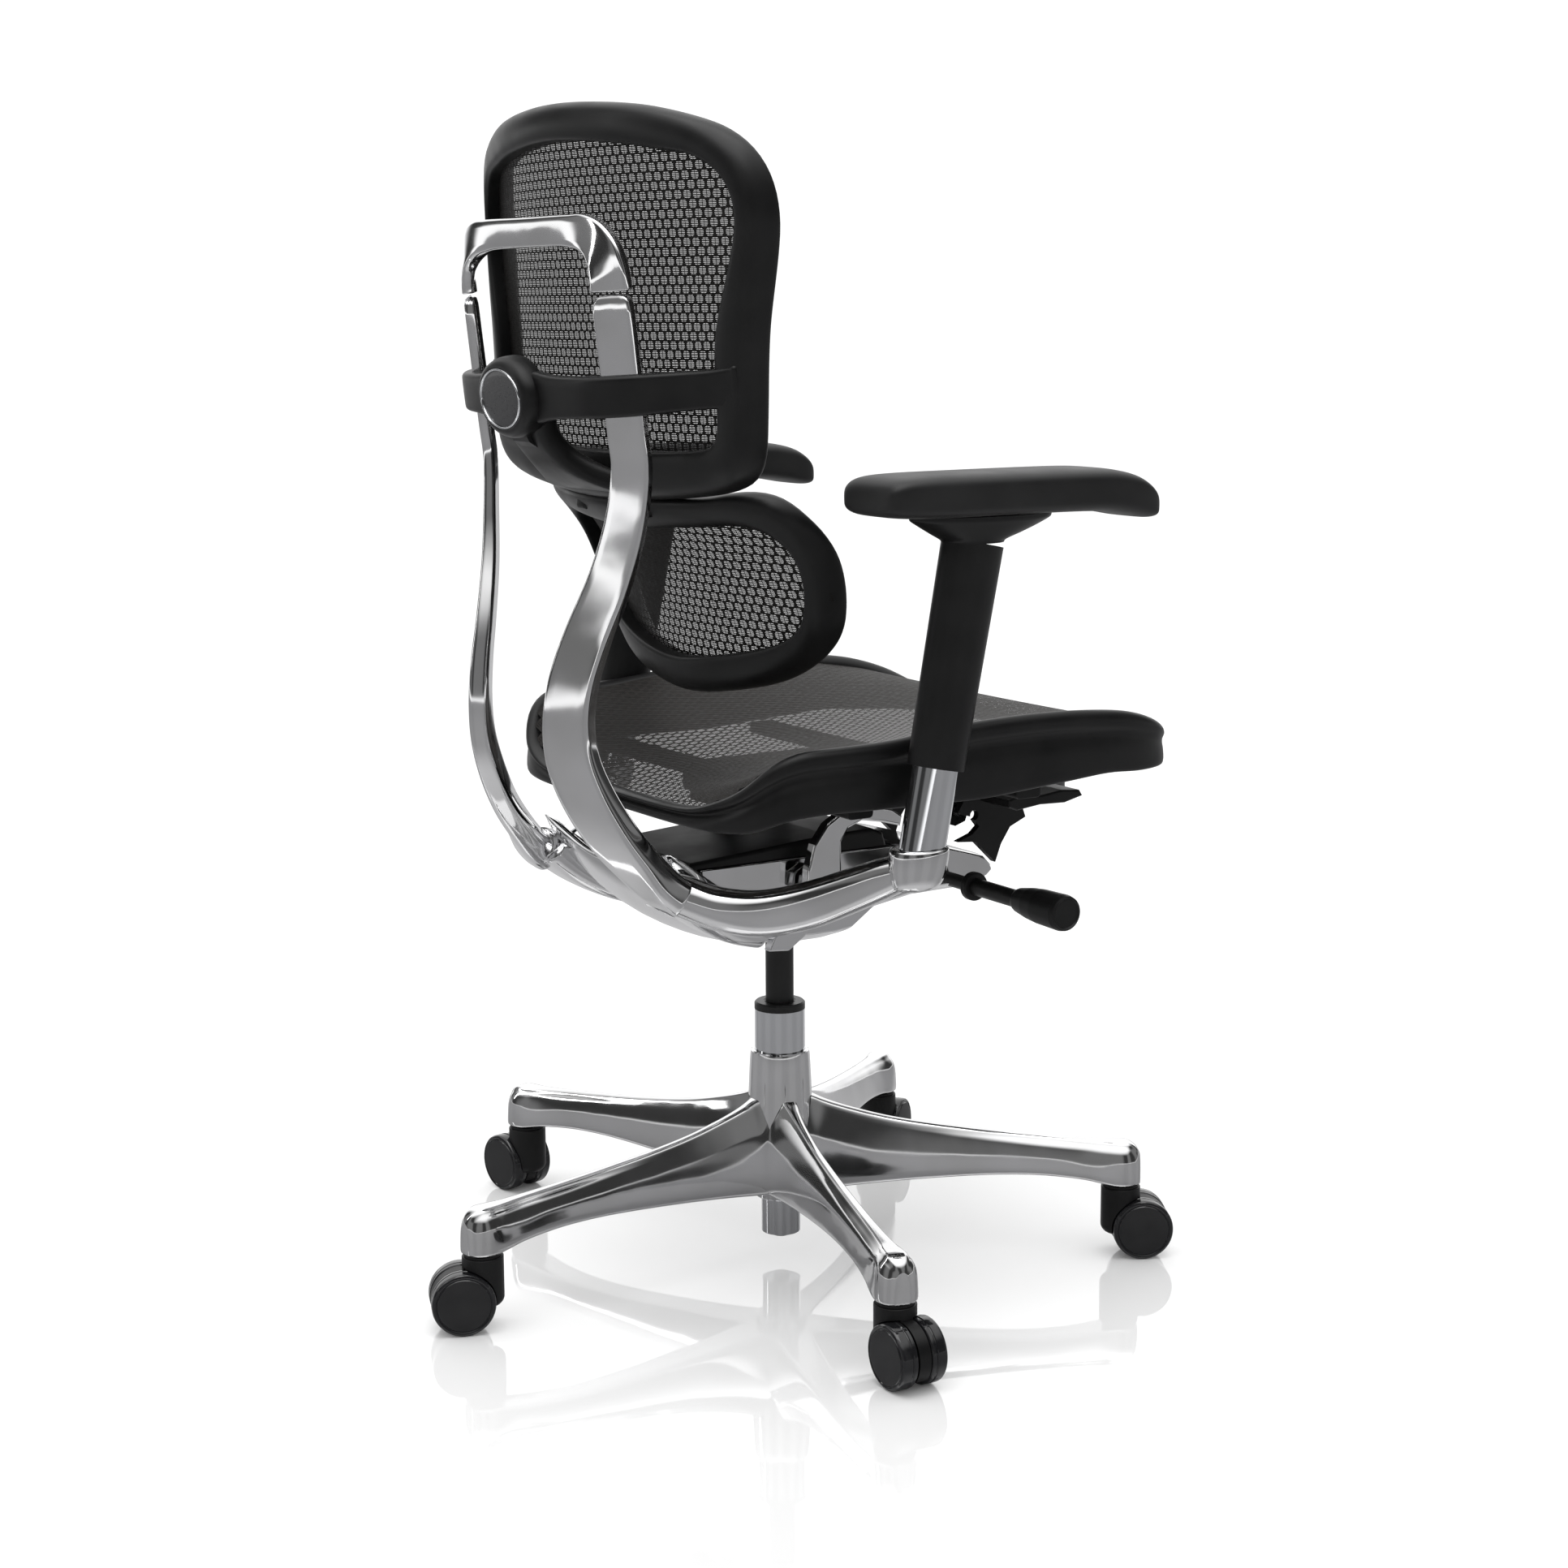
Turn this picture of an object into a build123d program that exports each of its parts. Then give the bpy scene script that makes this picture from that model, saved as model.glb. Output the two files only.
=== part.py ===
"""Swivel office chair with a five-star base, mesh seat and back, and adjustable arms.

Millimetres.  Z is up, the column axis is the Z axis and the floor is z = 0.
The sitter faces -Y; the sitter's right hand is on the -X side.
"""
import math
import os

from build123d import *

os.makedirs("parts", exist_ok=True)

# ---- driving dimensions -------------------------------------------------
BASE_RADIUS = 341.2        # column axis to caster socket
BASE_YAW = 93.34           # direction of the first base arm, degrees
SOCKET_Z = 73.7            # underside of a caster socket
TUBE_R = 25.0              # outer column tube
TUBE_BOTTOM = 24.5
TUBE_LOW_R = 19.3          # tube below its taper
TAPER = (88.0, 104.0)      # heights where the tube widens
TUBE_TOP = 255.0
CYL_R = 14.0               # gas cylinder
WHEEL_R = 30.0
WHEEL_W = 17.0
CASTER_TRAIL = 20.0
CASTER_YAWS = (69.5, 179.0, 241.0, 307.0, 10.0)
RUN = 0.05                 # radial running clearance
PIVOT = (-15.0, 400.0)     # recline axis: forward offset, height
SEAT_PIVOT = (170.0, 446.0)
LUMBAR_PIVOT = (-172.0, 780.0)
PADDLE_PIVOT = (232.0, 466.0)
CATCH_PIVOT = (-267.0, 830.0)
HOUSING_HALF = 80.0
UPRIGHT_SLOPE = 0.1114     # rearward lean of the straight part of the uprights
ARM_X = 288.0              # arm post centre from the middle plane
ARM_LEAN = math.atan2(58.0, 296.0)
CRANK = (155.0, 380.0)     # tension crank axis: forward offset, height


def at(side, fwd, up):
    """Point given as distance to the sitter's right, distance forward, height."""
    return Vector(-side, -fwd, up)


def save(shape, name):
    shape.label = name
    export_step(shape, "parts/" + name + ".step")


def one(shape):
    """The single solid of a shape."""
    found = shape.solids()
    found = sorted(found, key=lambda s: s.volume)
    return found[-1]


def mirror_x(shape):
    return mirror(shape, about=Plane.YZ)


def cyl_z(radius, z0, z1, x=0.0, y=0.0):
    return Pos(x, y, (z0 + z1) / 2) * Cylinder(radius, z1 - z0)


def cyl_x(radius, side0, side1, fwd, up):
    mid = (side0 + side1) / 2
    return Pos(-mid, -fwd, up) * Rot(0, 90, 0) * Cylinder(radius, abs(side1 - side0))


def box(side, fwd, up):
    """Box from three (low, high) pairs."""
    size = [b - a for a, b in (side, fwd, up)]
    mid = [(a + b) / 2 for a, b in (side, fwd, up)]
    return Pos(-mid[0], -mid[1], mid[2]) * Box(*size)


def profile(points, side0, side1, smooth=False):
    """Prism across the chair from a (forward, height) outline."""
    pts = [at(side0, f, z) for f, z in points]
    if smooth:
        face = make_face(Spline(*pts, periodic=True))
    else:
        face = make_face(Polyline(*pts, close=True))
    return extrude(face, amount=abs(side1 - side0), dir=(-1 if side1 > side0 else 1, 0, 0))


def plan(points, z0, z1):
    """Prism upward from a closed smooth (side, forward) outline."""
    face = make_face(Spline(*[at(s, f, z0) for s, f in points], periodic=True))
    return extrude(face, amount=z1 - z0, dir=(0, 0, 1))


def both_sides(half):
    """Closed outline from one half that starts and ends on the middle plane."""
    return half + [(-s, v) for s, v in reversed(half[1:-1])]


def ribbon(stations):
    """Loft of rounded rectangles; each station is point, tangent, width direction, w, t, r."""
    faces = []
    for point, tangent, wide, w, t, r in stations:
        tangent = Vector(*tangent).normalized()
        wide = Vector(*wide)
        wide = (wide - tangent * wide.dot(tangent)).normalized()
        plane = Plane(origin=point, x_dir=wide, z_dir=tangent)
        faces.append(plane * RectangleRounded(w, t, min(r, 0.48 * min(w, t))))
    return loft(faces)


def tangents(points):
    out = []
    last = len(points) - 1
    for i in range(len(points)):
        a = points[max(i - 1, 0)]
        b = points[min(i + 1, last)]
        out.append((b - a).normalized())
    return out


def surface(rows):
    return Face.make_surface_from_array_of_points(rows)


def try_fillet(shape, edges, radius):
    """Round the edges; the sharp shape is kept when one of them is too tight."""
    try:
        out = fillet(edges, radius)
        if out.is_valid and out.volume > 0:
            return out
    except Exception:
        pass
    return shape


# ---- base and column ----------------------------------------------------
def tube_outer(z0, z1):
    pts = [(0, z0), (TUBE_LOW_R, z0), (TUBE_LOW_R, TAPER[0]), (TUBE_R, TAPER[1]), (TUBE_R, z1), (0, z1)]
    return revolve(make_face(Polyline(*[Vector(r, 0, z) for r, z in pts], close=True)), Axis.Z)


def star_base():
    hub_pts = [(24, 62), (33, 62), (35, 70), (34, 110), (31.5, 165), (30, 208), (29, 213.5), (24, 213.5)]
    hub = revolve(make_face(Polyline(*[Vector(r, 0, z) for r, z in hub_pts], close=True)), Axis.Z)
    sections = []
    for r, zb, zt, wb, wt in (
        (18, 72, 166, 44, 16),
        (50, 75, 152, 37, 13),
        (110, 79, 142, 32, 12),
        (180, 83, 133, 29, 12),
        (250, 84, 125, 29, 12),
        (300, 82, 120, 33, 15),
        (330, 80, 117, 38, 20),
    ):
        pts = [(-wb / 2, zb), (wb / 2, zb), (wb / 2 - 1.5, zb + 0.45 * (zt - zb)), (wt / 2, zt - 3)]
        pts += [(wt / 2 - 4, zt), (4 - wt / 2, zt), (-wt / 2, zt - 3), (1.5 - wb / 2, zb + 0.45 * (zt - zb))]
        sections.append(make_face(Polyline(*[Vector(r, y, z) for y, z in pts], close=True)))
    arm = loft(sections)
    dome_pts = [(0, SOCKET_Z), (19, SOCKET_Z), (20, SOCKET_Z + 1.5), (20.4, 96), (18.5, 107)]
    dome_pts += [(14, 114), (7, 117.6), (0, 118.2)]
    dome = revolve(make_face(Polyline(*[Vector(r, 0, z) for r, z in dome_pts], close=True)), Axis.Z)
    spoke = arm + Pos(BASE_RADIUS, 0, 0) * dome
    spoke = try_fillet(spoke, spoke.edges().filter_by(lambda e: e.length > 200), 3)
    whole = hub
    for k in range(5):
        whole += Rot(0, 0, BASE_YAW + 72 * k) * spoke
    whole -= cyl_z(TUBE_R, TAPER[1], 240)
    whole += cyl_z(26.0, 62, 106)
    whole -= cyl_z(40.0, 55, 70.5) - cyl_z(26.0, 50, 80)
    whole = one(whole) - tube_outer(40, 240)
    for k in range(5):
        a = math.radians(BASE_YAW + 72 * k)
        x, y = BASE_RADIUS * math.cos(a), BASE_RADIUS * math.sin(a)
        whole -= cyl_z(5.5, 60, 106, x, y)
    return one(whole)


def column_tube():
    tube = tube_outer(TUBE_BOTTOM, TUBE_TOP) - cyl_z(TUBE_R - 2, TAPER[1] + 4, 300)
    tube -= cyl_z(TUBE_LOW_R - 2, TUBE_BOTTOM + 4, 120)
    tube -= cyl_z(5.0, 0, 60)
    return try_fillet(one(tube), tube.edges().filter_by(GeomType.CIRCLE).sort_by(Axis.Z)[0:1], 0.6)


def column_collar():
    pts = [(CYL_R + RUN, 175), (TUBE_R - 2, 175), (TUBE_R - 2, TUBE_TOP), (25.2, TUBE_TOP), (25.2, 261)]
    pts += [(23.6, 262.6), (16.5, 262.6), (CYL_R + RUN, 261)]
    return one(revolve(make_face(Polyline(*[Vector(r, 0, z) for r, z in pts], close=True)), Axis.Z))


def piston_rod():
    rod = cyl_z(5.0, 20, 232) + cyl_z(11.0, TUBE_BOTTOM + 4, 33) + cyl_z(8.0, 20, TUBE_BOTTOM)
    return one(rod)


def gas_cylinder():
    body = cyl_z(CYL_R, 118, 374)
    body -= cyl_z(CYL_R - 2.5, 126, 352)
    body -= cyl_z(5.0 + RUN, 100, 140)
    return one(body)


# ---- casters (built at the swivel axis, trailing along +X) ---------------
def caster_wheel(sign):
    r, w = WHEEL_R, WHEEL_W
    pts = [(3 + RUN, 0), (24, 0), (r - 1.2, 0), (r, 1.2), (r, 4.6), (r - 0.9, 5.2), (r - 0.9, 6.2)]
    pts += [(r, 6.8), (r, w - 2.6), (r - 1.2, w - 1.0), (r - 3.4, w - 0.4), (r - 4.0, w - 1.2)]
    pts += [(r - 4.8, w - 0.9), (r - 5.6, w), (12, w + 0.4), (3 + RUN, w + 0.4)]
    face = make_face(Polyline(*[Vector(a, b, 0) for a, b in pts], close=True))
    wheel = revolve(face, Axis.Y)
    wheel = Pos(0, 7, 0) * wheel
    if sign < 0:
        wheel = mirror(wheel, about=Plane.XZ)
    return Pos(CASTER_TRAIL, 0, WHEEL_R) * wheel


def caster_stem():
    stem = cyl_z(5.5 - RUN, 44, 104)
    web = Pos(CASTER_TRAIL / 2, 0, 40) * Box(CASTER_TRAIL + 6, 6, 12)
    web += Pos(CASTER_TRAIL, 0, WHEEL_R) * Rot(90, 0, 0) * Cylinder(6, 6)
    web += Pos(CASTER_TRAIL, 0, 35) * Box(8, 6, 10)
    axle = Pos(CASTER_TRAIL, 0, WHEEL_R) * Rot(90, 0, 0) * Cylinder(3, 44)
    return one(stem + web + axle)


def caster_hood():
    drum = cyl_z(19.6, 22, 70.5)
    drum = try_fillet(drum, drum.edges().filter_by(GeomType.CIRCLE).sort_by(Axis.Z)[0:1], 9)
    drum = try_fillet(drum, drum.edges().filter_by(GeomType.CIRCLE).sort_by(Axis.Z)[-1:], 1)
    drum += cyl_z(17.5, 70, 73)
    guard = Pos(CASTER_TRAIL, 0, WHEEL_R) * Rot(90, 0, 0) * Cylinder(WHEEL_R - 0.8, 12)
    guard -= Pos(CASTER_TRAIL, 0, 0) * Box(100, 40, 22)
    hood = drum + guard
    for sign in (-1, 1):
        clear = Pos(CASTER_TRAIL, sign * 21.5, WHEEL_R) * Rot(90, 0, 0) * Cylinder(WHEEL_R + 1.0, 30)
        hood -= clear
    hood = one(hood) - caster_stem()
    return one(hood)


def place_caster(shape, k):
    a = math.radians(BASE_YAW + 72 * k)
    x, y = BASE_RADIUS * math.cos(a), BASE_RADIUS * math.sin(a)
    return Pos(x, y, 0) * Rot(0, 0, CASTER_YAWS[k]) * shape


# ---- tilt mechanism -----------------------------------------------------
def housing():
    pts = [(-138, 424), (-138, 404), (-100, 388), (-50, 378), (-36, 352), (-30, 327), (30, 327)]
    pts += [(62, 350), (120, 357), (188, 358), (200, 364), (205, 376), (203, 391), (194, 401)]
    pts += [(150, 414), (80, 424)]
    body = profile(pts, -HOUSING_HALF, HOUSING_HALF)
    edges = body.edges().filter_by(lambda e: abs(abs(e.center().X) - HOUSING_HALF) < 0.1)
    body = try_fillet(body, edges, 5)
    body += cyl_z(27, 322, 345)
    for side in (-1, 1):
        body += cyl_x(13.0, side * 78, side * 108, *CRANK) if side > 0 else cyl_x(13, -78, -84, *CRANK)
        body += profile([(158, 404), (188, 398), (186, 446), (182, 456), (170, 460), (158, 456), (154, 446)],
                        side * 36, side * 46)
    body -= box((-73, 73), (32, 148), (366, 430))
    body -= box((-73, 73), (-128, -34), (398, 430))
    body -= cyl_z(CYL_R + RUN, 300, 375)
    body -= cyl_x(7.0, -90, 90, *PIVOT)
    body -= cyl_x(5.0, -60, 60, *SEAT_PIVOT)
    body -= cyl_x(7.0 + RUN, 60, 120, *CRANK)
    return one(body)


def top_cover():
    pts = [(-138, 424), (-138, 406), (-148, 409), (-146, 430), (-60, 436), (10, 441), (60, 442), (72, 437)]
    pts += [(76, 424)]
    body = profile(pts, -77, 77)
    return one(try_fillet(body, body.edges().filter_by(lambda e: e.center().Z > 428), 4))


def pivot_pin():
    return one(cyl_x(7.0, -108, 108, *PIVOT))


def seat_pivot_pin():
    return one(cyl_x(5.0, -64, 64, *SEAT_PIVOT))


def crank_collar():
    ring = cyl_x(14.2, 108, 117, *CRANK)
    ring = try_fillet(ring, ring.edges().filter_by(GeomType.CIRCLE), 2)
    return one(ring - cyl_x(8.6 + RUN, 100, 120, *CRANK))


def crank_rod():
    rod = cyl_x(7.0, 66, 110, *CRANK) + cyl_x(8.6, 108.2, 196, *CRANK)
    return one(rod)


def crank_grip():
    pts = [(186, 8.6), (186, 11), (189, 12.2), (206, 15.2), (222, 16.8), (254, 17.6), (259, 16.6)]
    pts += [(260.4, 14.2), (259.4, 13.4), (259.4, 0), (196, 0), (196, 8.6)]
    face = make_face(Polyline(*[at(s, CRANK[0], CRANK[1] + r) for s, r in pts], close=True))
    return one(revolve(face, Axis((0, -CRANK[0], CRANK[1]), (1, 0, 0))))


# ---- recline frame ------------------------------------------------------
def upright(side=1):
    straight = lambda z: -237.0 - (z - 815.0) * UPRIGHT_SLOPE
    table = [
        (138, -188, 411, 44, 37, 14, 8),
        (131, -203, 422, 45, 33, 13, 14),
        (122, -219, 440, 47, 28, 12, 22),
        (110, -242, 470, 50, 24, 11, 28),
        (99, -261, 505, 51, 22, 10, 31),
        (92, -273, 540, 50, 20, 9, 32),
        (90, -276, 575, 48, 19, 9, 32),
        (93, -272, 612, 46, 18, 8, 32),
        (102, -262, 652, 44, 16, 7, 32),
        (119, -248, 702, 41, 14, 6, 32),
        (133, -239, 752, 39, 12, 5.5, 32),
        (139.5, straight(800), 800, 38, 11, 5, 32),
        (140, straight(840), 840, 38, 11, 5, 32),
        (140, straight(954), 954, 38, 11, 5, 32),
    ]
    pts = [at(s, f, z) for s, f, z, *_ in table]
    tans = tangents(pts)
    tans[0] = Vector(0.25, 0.78, 0.55)
    lean = (pts[-1] - pts[-2]).normalized()
    tans[-1] = lean
    tans[-2] = lean
    stations = []
    for (s, f, z, w, t, r, turn), p, tan in zip(table, pts, tans):
        a = math.radians(turn)
        stations.append((p, (tan.X, tan.Y, tan.Z), (-math.cos(a), -math.sin(a), 0), w, t, r))
    low = ribbon(stations[:-2])
    high = ribbon(stations[-3:])
    body = one(low + high)
    return body if side > 0 else one(mirror_x(body))


def top_bridge():
    base = at(140, -237.0 - 139 * UPRIGHT_SLOPE, 954)
    lean = Vector(0, UPRIGHT_SLOPE, 1).normalized()
    back = Vector(0, 1, -UPRIGHT_SLOPE).normalized()
    # side, rise along the lean, in-plane direction angle, width, thickness, turn
    table = [
        (140, 0, 90, 38, 11, 32),
        (140, 8, 90, 38, 11.5, 31),
    ]
    for k in range(7):
        a = k * 15.0
        side = 110 + 30 * math.cos(math.radians(a))
        rise = 22 + 30 * math.sin(math.radians(a))
        table.append((side, rise, 90 - a, 38 - 11 * k / 6, 12 + 3 * k / 6, 30 - 30 * k / 6))
    table.append((96, 52, 0, 27, 15, 0))
    table.append((82, 52, 0, 27, 15, 0))
    stations = []
    for s, rise, ang, w, t, turn in table:
        a = math.radians(ang)
        b = math.radians(turn)
        p = Vector(-s, base.Y, base.Z) + lean * rise
        tan = Vector(1, 0, 0) * math.cos(a) + lean * math.sin(a)
        norm = Vector(-1, 0, 0) * math.sin(a) + lean * math.cos(a)
        wide = norm * math.cos(b) - back * math.sin(b)
        stations.append((p, (tan.X, tan.Y, tan.Z), (wide.X, wide.Y, wide.Z), w, t, 5))
    half = one(ribbon(stations))
    bar = stations[-1][0]
    middle = Plane(origin=bar, x_dir=lean, z_dir=(1, 0, 0)) * RectangleRounded(27, 15, 5)
    whole = extrude(middle, amount=164) + half + mirror_x(half)
    return one(whole)


def arm_axis_point(z):
    return at(ARM_X, -35.0 + (z - 440.0) * math.tan(ARM_LEAN), z)


def arm_plane(z):
    up = Vector(0, -math.sin(ARM_LEAN), math.cos(ARM_LEAN))
    return Plane(origin=arm_axis_point(z), x_dir=(1, 0, 0), z_dir=up)


def arm_ellipse(z, across, along):
    return arm_plane(z) * Ellipse(across, along)


def yoke_section(points, side, rise):
    return make_face(Polyline(*[at(side, f, z + rise) for f, z in points], close=True))


def yoke():
    pts = [(-64, 337), (-64, 352), (-110, 362), (-150, 380), (-172, 402), (-176, 428), (-196, 430)]
    pts += [(-203, 412), (-192, 384), (-160, 356), (-112, 340)]
    rises = ((-132, 26), (-55, 4), (55, 4), (132, 26))
    plate = loft([yoke_section(pts, side, rise) for side, rise in rises], ruled=True)
    whole = plate
    table = [
        (138, -188, 411, 37, 44, 14),
        (156, -166, 402, 40, 40, 13),
        (182, -136, 401, 43, 34, 12),
        (212, -103, 411, 43, 30, 11),
        (242, -74, 427, 41, 29, 11),
        (268, -52, 443, 38, 30, 11),
        (288, -36, 453, 34, 34, 11),
    ]
    centre = [at(s, f, z) for s, f, z, *_ in table]
    tans = tangents(centre)
    stations = []
    for (s, f, z, h, t, r), p, tan in zip(table, centre, tans):
        stations.append((p, (tan.X, tan.Y, tan.Z), (0, 0, 1), h, t, r))
    branch = ribbon(stations)
    block = loft([
        Plane(origin=at(128, -188, 411), x_dir=(1, 0, 0), z_dir=(0, -1, 0.0)) * RectangleRounded(70, 36, 12),
        Plane(origin=at(120, -150, 376), x_dir=(1, 0, 0), z_dir=(0, -1, 0.0)) * RectangleRounded(60, 30, 10),
        Plane(origin=at(108, -100, 352), x_dir=(1, 0, 0), z_dir=(0, -1, 0.0)) * RectangleRounded(48, 24, 8),
    ])
    socket = loft([arm_ellipse(437, 20, 25), arm_ellipse(452, 23, 28), arm_ellipse(469, 23.5, 28.5)])
    right = branch + socket + block
    lug = profile([(-70, 340), (-64, 352), (-34, 384), (-30, 408), (-16, 416), (0, 408), (2, 394), (-14, 372),
                   (-30, 350), (-48, 338)], 84, 95)
    right += lug
    whole += right
    whole += mirror_x(right)
    for sign in (-1, 1):
        whole -= cyl_x(7.0 + RUN, sign * 60, sign * 130, *PIVOT)
    post_hole = loft([arm_ellipse(441, 17, 22.5), arm_ellipse(480, 17, 22.5)])
    whole -= post_hole
    whole -= mirror_x(post_hole)
    for u in (upright(1), upright(-1)):
        whole -= u
    return one(whole)


def sync_arm():
    outer = [(-34, 396), (-33, 416), (-26, 440), (-12, 458), (8, 470), (30, 474), (62, 466), (74, 458)]
    inner = [(72, 448), (50, 454), (28, 458), (12, 452), (4, 440), (4, 424), (4, 396), (-14, 384)]
    body = profile(outer + inner, 95.5, 107)
    body -= cyl_x(7.0 + RUN, 60, 120, *PIVOT)
    return one(try_fillet(one(body), body.edges().filter_by(lambda e: abs(e.center().X + 107) < 0.1), 2.5))


def arm_post():
    return one(loft([arm_ellipse(441, 17, 22.5), arm_ellipse(660, 17, 22.5)]))


# ---- arms ---------------------------------------------------------------
def arm_sleeve():
    outer = loft([arm_ellipse(539, 21.5, 27.5), arm_ellipse(640, 22.2, 28.8), arm_ellipse(736, 23, 30)])
    hole = loft([arm_ellipse(530, 17.1, 22.6), arm_ellipse(728, 17.1, 22.6)])
    return one(outer - hole)


def arm_bracket():
    low = arm_ellipse(736, 23, 30)
    mid = Plane(origin=at(ARM_X, 27, 744), x_dir=(1, 0, 0), z_dir=(0, 0, 1)) * Ellipse(26, 46)
    top = Plane(origin=at(ARM_X, 32, 757), x_dir=(1, 0, 0), z_dir=(0, 0, 1)) * Ellipse(33, 74)
    cap = Plane(origin=at(ARM_X, 32, 760), x_dir=(1, 0, 0), z_dir=(0, 0, 1)) * Ellipse(33, 74)
    body = loft([low, mid, top]) + loft([top, cap])
    body += cyl_z(9.0, 755, 772, -ARM_X, -32)
    return one(body)


def arm_pad():
    side = [(-89, 768), (-80, 763), (0, 760.2), (120, 760.2), (170, 758), (200, 751), (212, 752), (216, 760)]
    side += [(212, 776), (198, 790), (170, 797), (100, 799), (0, 799), (-70, 798), (-84, 793), (-89, 784)]
    bar = profile(side, ARM_X - 47, ARM_X + 47)
    shape = Pos(-ARM_X, -63.5, 740) * extrude(RectangleRounded(92, 305, 30), amount=80)
    body = one(bar & shape)
    top = body.edges().filter_by(lambda e: e.center().Z > 775)
    body = try_fillet(body, top, 9)
    body -= cyl_z(9.0 + RUN, 750, 773, -ARM_X, -32)
    return one(body)


# ---- seat ---------------------------------------------------------------
SEAT_HALF = [(0, -188), (120, -187), (175, -182), (212, -169), (238, -148), (251, -110), (256, -50)]
SEAT_HALF += [(257, 30), (257, 120), (254, 200), (246, 256), (224, 294), (180, 311), (90, 321), (0, 324)]


def inset(points, by):
    """Closed outline moved inward."""
    out = []
    n = len(points)
    for i in range(n):
        ax, ay = points[i - 1]
        bx, by_ = points[(i + 1) % n]
        dx, dy = bx - ax, by_ - ay
        size = math.hypot(dx, dy)
        nx, ny = -dy / size, dx / size
        out.append((points[i][0] + by * nx, points[i][1] + by * ny))
    return out


def seat_frame():
    outline = both_sides(SEAT_HALF)
    ring = plan(outline, 460, 600) - plan(inset(outline, 20), 455, 605)
    top = [(-200, 488), (-188, 495), (-182, 507), (-170, 523), (-157, 542), (-134, 555), (-90, 558), (-38, 560)]
    top += [(50, 569), (142, 571), (220, 566), (260, 558), (295, 545), (315, 530), (330, 512)]
    low = [(330, 505), (300, 503), (250, 504), (212, 507), (60, 497), (-100, 499), (-140, 496), (-170, 481)]
    low += [(-200, 476)]
    side_face = make_face(Spline(*[at(300, f, z) for f, z in top])
                          + Line(at(300, *top[-1]), at(300, *low[0]))
                          + Polyline(*[at(300, f, z) for f, z in low])
                          + Line(at(300, *low[-1]), at(300, *top[0])))
    body = ring & extrude(side_face, amount=600, dir=(1, 0, 0))
    body = one(body)
    rim = body.edges().filter_by(lambda e: e.center().Z > 485 and e.length > 300)
    body = try_fillet(body, rim, 4)
    bars = box((-240, 240), (-75, -48), (489, 503)) + box((-240, 240), (112, 140), (489, 503))
    inner = plan(inset(outline, 12), 470, 520)
    bars = bars & inner
    rails = box((38, 60), (-75, 140), (474, 503)) + box((-60, -38), (-75, 140), (474, 503))
    return one(body + bars + rails)


def seat_height(side, fwd):
    """Height of the seat fabric."""
    mid = [(-175, 489), (-120, 503), (-60, 517), (0, 527), (100, 542), (200, 553), (270, 552), (305, 541)]
    rim = [(-175, 516), (-150, 546), (-120, 552), (-60, 554), (50, 564), (142, 566), (251, 553), (305, 536)]
    mid.append((330, 520))
    rim.append((330, 515))

    def lookup(table, v):
        if v <= table[0][0]:
            return table[0][1]
        for (a, za), (b, zb) in zip(table, table[1:]):
            if v <= b:
                t = (v - a) / (b - a)
                return za + (zb - za) * t
        return table[-1][1]

    k = min(abs(side) / 236.0, 1.1) ** 2
    return lookup(mid, fwd) * (1 - k) + lookup(rim, fwd) * k


def seat_mesh():
    rows = []
    for i in range(13):
        s = -250 + 500 * i / 12
        rows.append([at(s, f, seat_height(s, f) - 2.5) for f in range(-185, 331, 32)])
    sheet = extrude(surface(rows), amount=1.6, dir=(0, 0, 1))
    keep = plan(inset(both_sides(SEAT_HALF), 20), 440, 620)
    return one(sheet & keep)


def seat_carrier():
    pts = [(-60, 461), (-60, 473.8), (296, 473.8), (318, 468), (331, 458), (322, 452), (290, 456), (260, 461)]
    plate = profile(pts, -78, 78)
    shape = plan(both_sides([(0, -62), (60, -62), (78, -55), (79, 60), (79, 200), (74, 270), (46, 318), (0, 332)]),
                 440, 480)
    body = plate & shape
    for sign in (-1, 1):
        body += profile([(154, 446), (158, 434), (170, 430), (182, 434), (186, 446), (190, 462), (150, 462)],
                        sign * 50, sign * 60)
        body += profile([(150, 421), (172, 419), (196, 396), (203, 414), (214, 430), (233, 438), (230, 446),
                         (214, 466), (160, 466), (150, 450), (168, 444), (176, 434), (168, 427)],
                        sign * 84, sign * 92)
        body += box((min(sign * 70, sign * 92), max(sign * 70, sign * 92)), (160, 214), (462, 470))
    body -= cyl_x(5.0 + RUN, -120, 120, *SEAT_PIVOT)
    body -= cyl_x(4.0 + RUN, 60, 78.5, *PADDLE_PIVOT)
    return one(body)


def paddle_lever():
    shape = [(168, 470), (178, 473), (206, 471), (232, 474), (254, 472), (258, 466), (236, 461), (206, 462)]
    shape += [(178, 459), (168, 463)]
    body = profile(shape, 104, 152)
    body += cyl_x(4.0, 66, 110, *PADDLE_PIVOT)
    return one(try_fillet(body, body.edges().filter_by(lambda e: abs(e.center().X + 152) < 0.1), 2))


# ---- back ---------------------------------------------------------------
BACK_D0 = [(760, -199), (815, -205), (865, -212), (950, -222), (1010, -230), (1080, -241), (1125, -249)]
BACK_EDGE = [(760, -170), (815, -180), (865, -184), (950, -187), (1010, -188), (1080, -193), (1125, -200)]


def blend(table, v):
    if v <= table[0][0]:
        return table[0][1]
    for (a, da), (b, db) in zip(table, table[1:]):
        if v <= b:
            return da + (db - da) * (v - a) / (b - a)
    return table[-1][1]


def back_depth(side, up):
    """Forward coordinate of the rear face of the back frame."""
    mid = blend(BACK_D0, up)
    return mid + (blend(BACK_EDGE, up) - mid) * (side / 235.0) ** 2


def slab(depth, sides, heights, start, thick):
    rows = [[at(s, depth(s, z) + start, z) for z in heights] for s in sides]
    return extrude(surface(rows), amount=thick, dir=(0, -1, 0))


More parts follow.
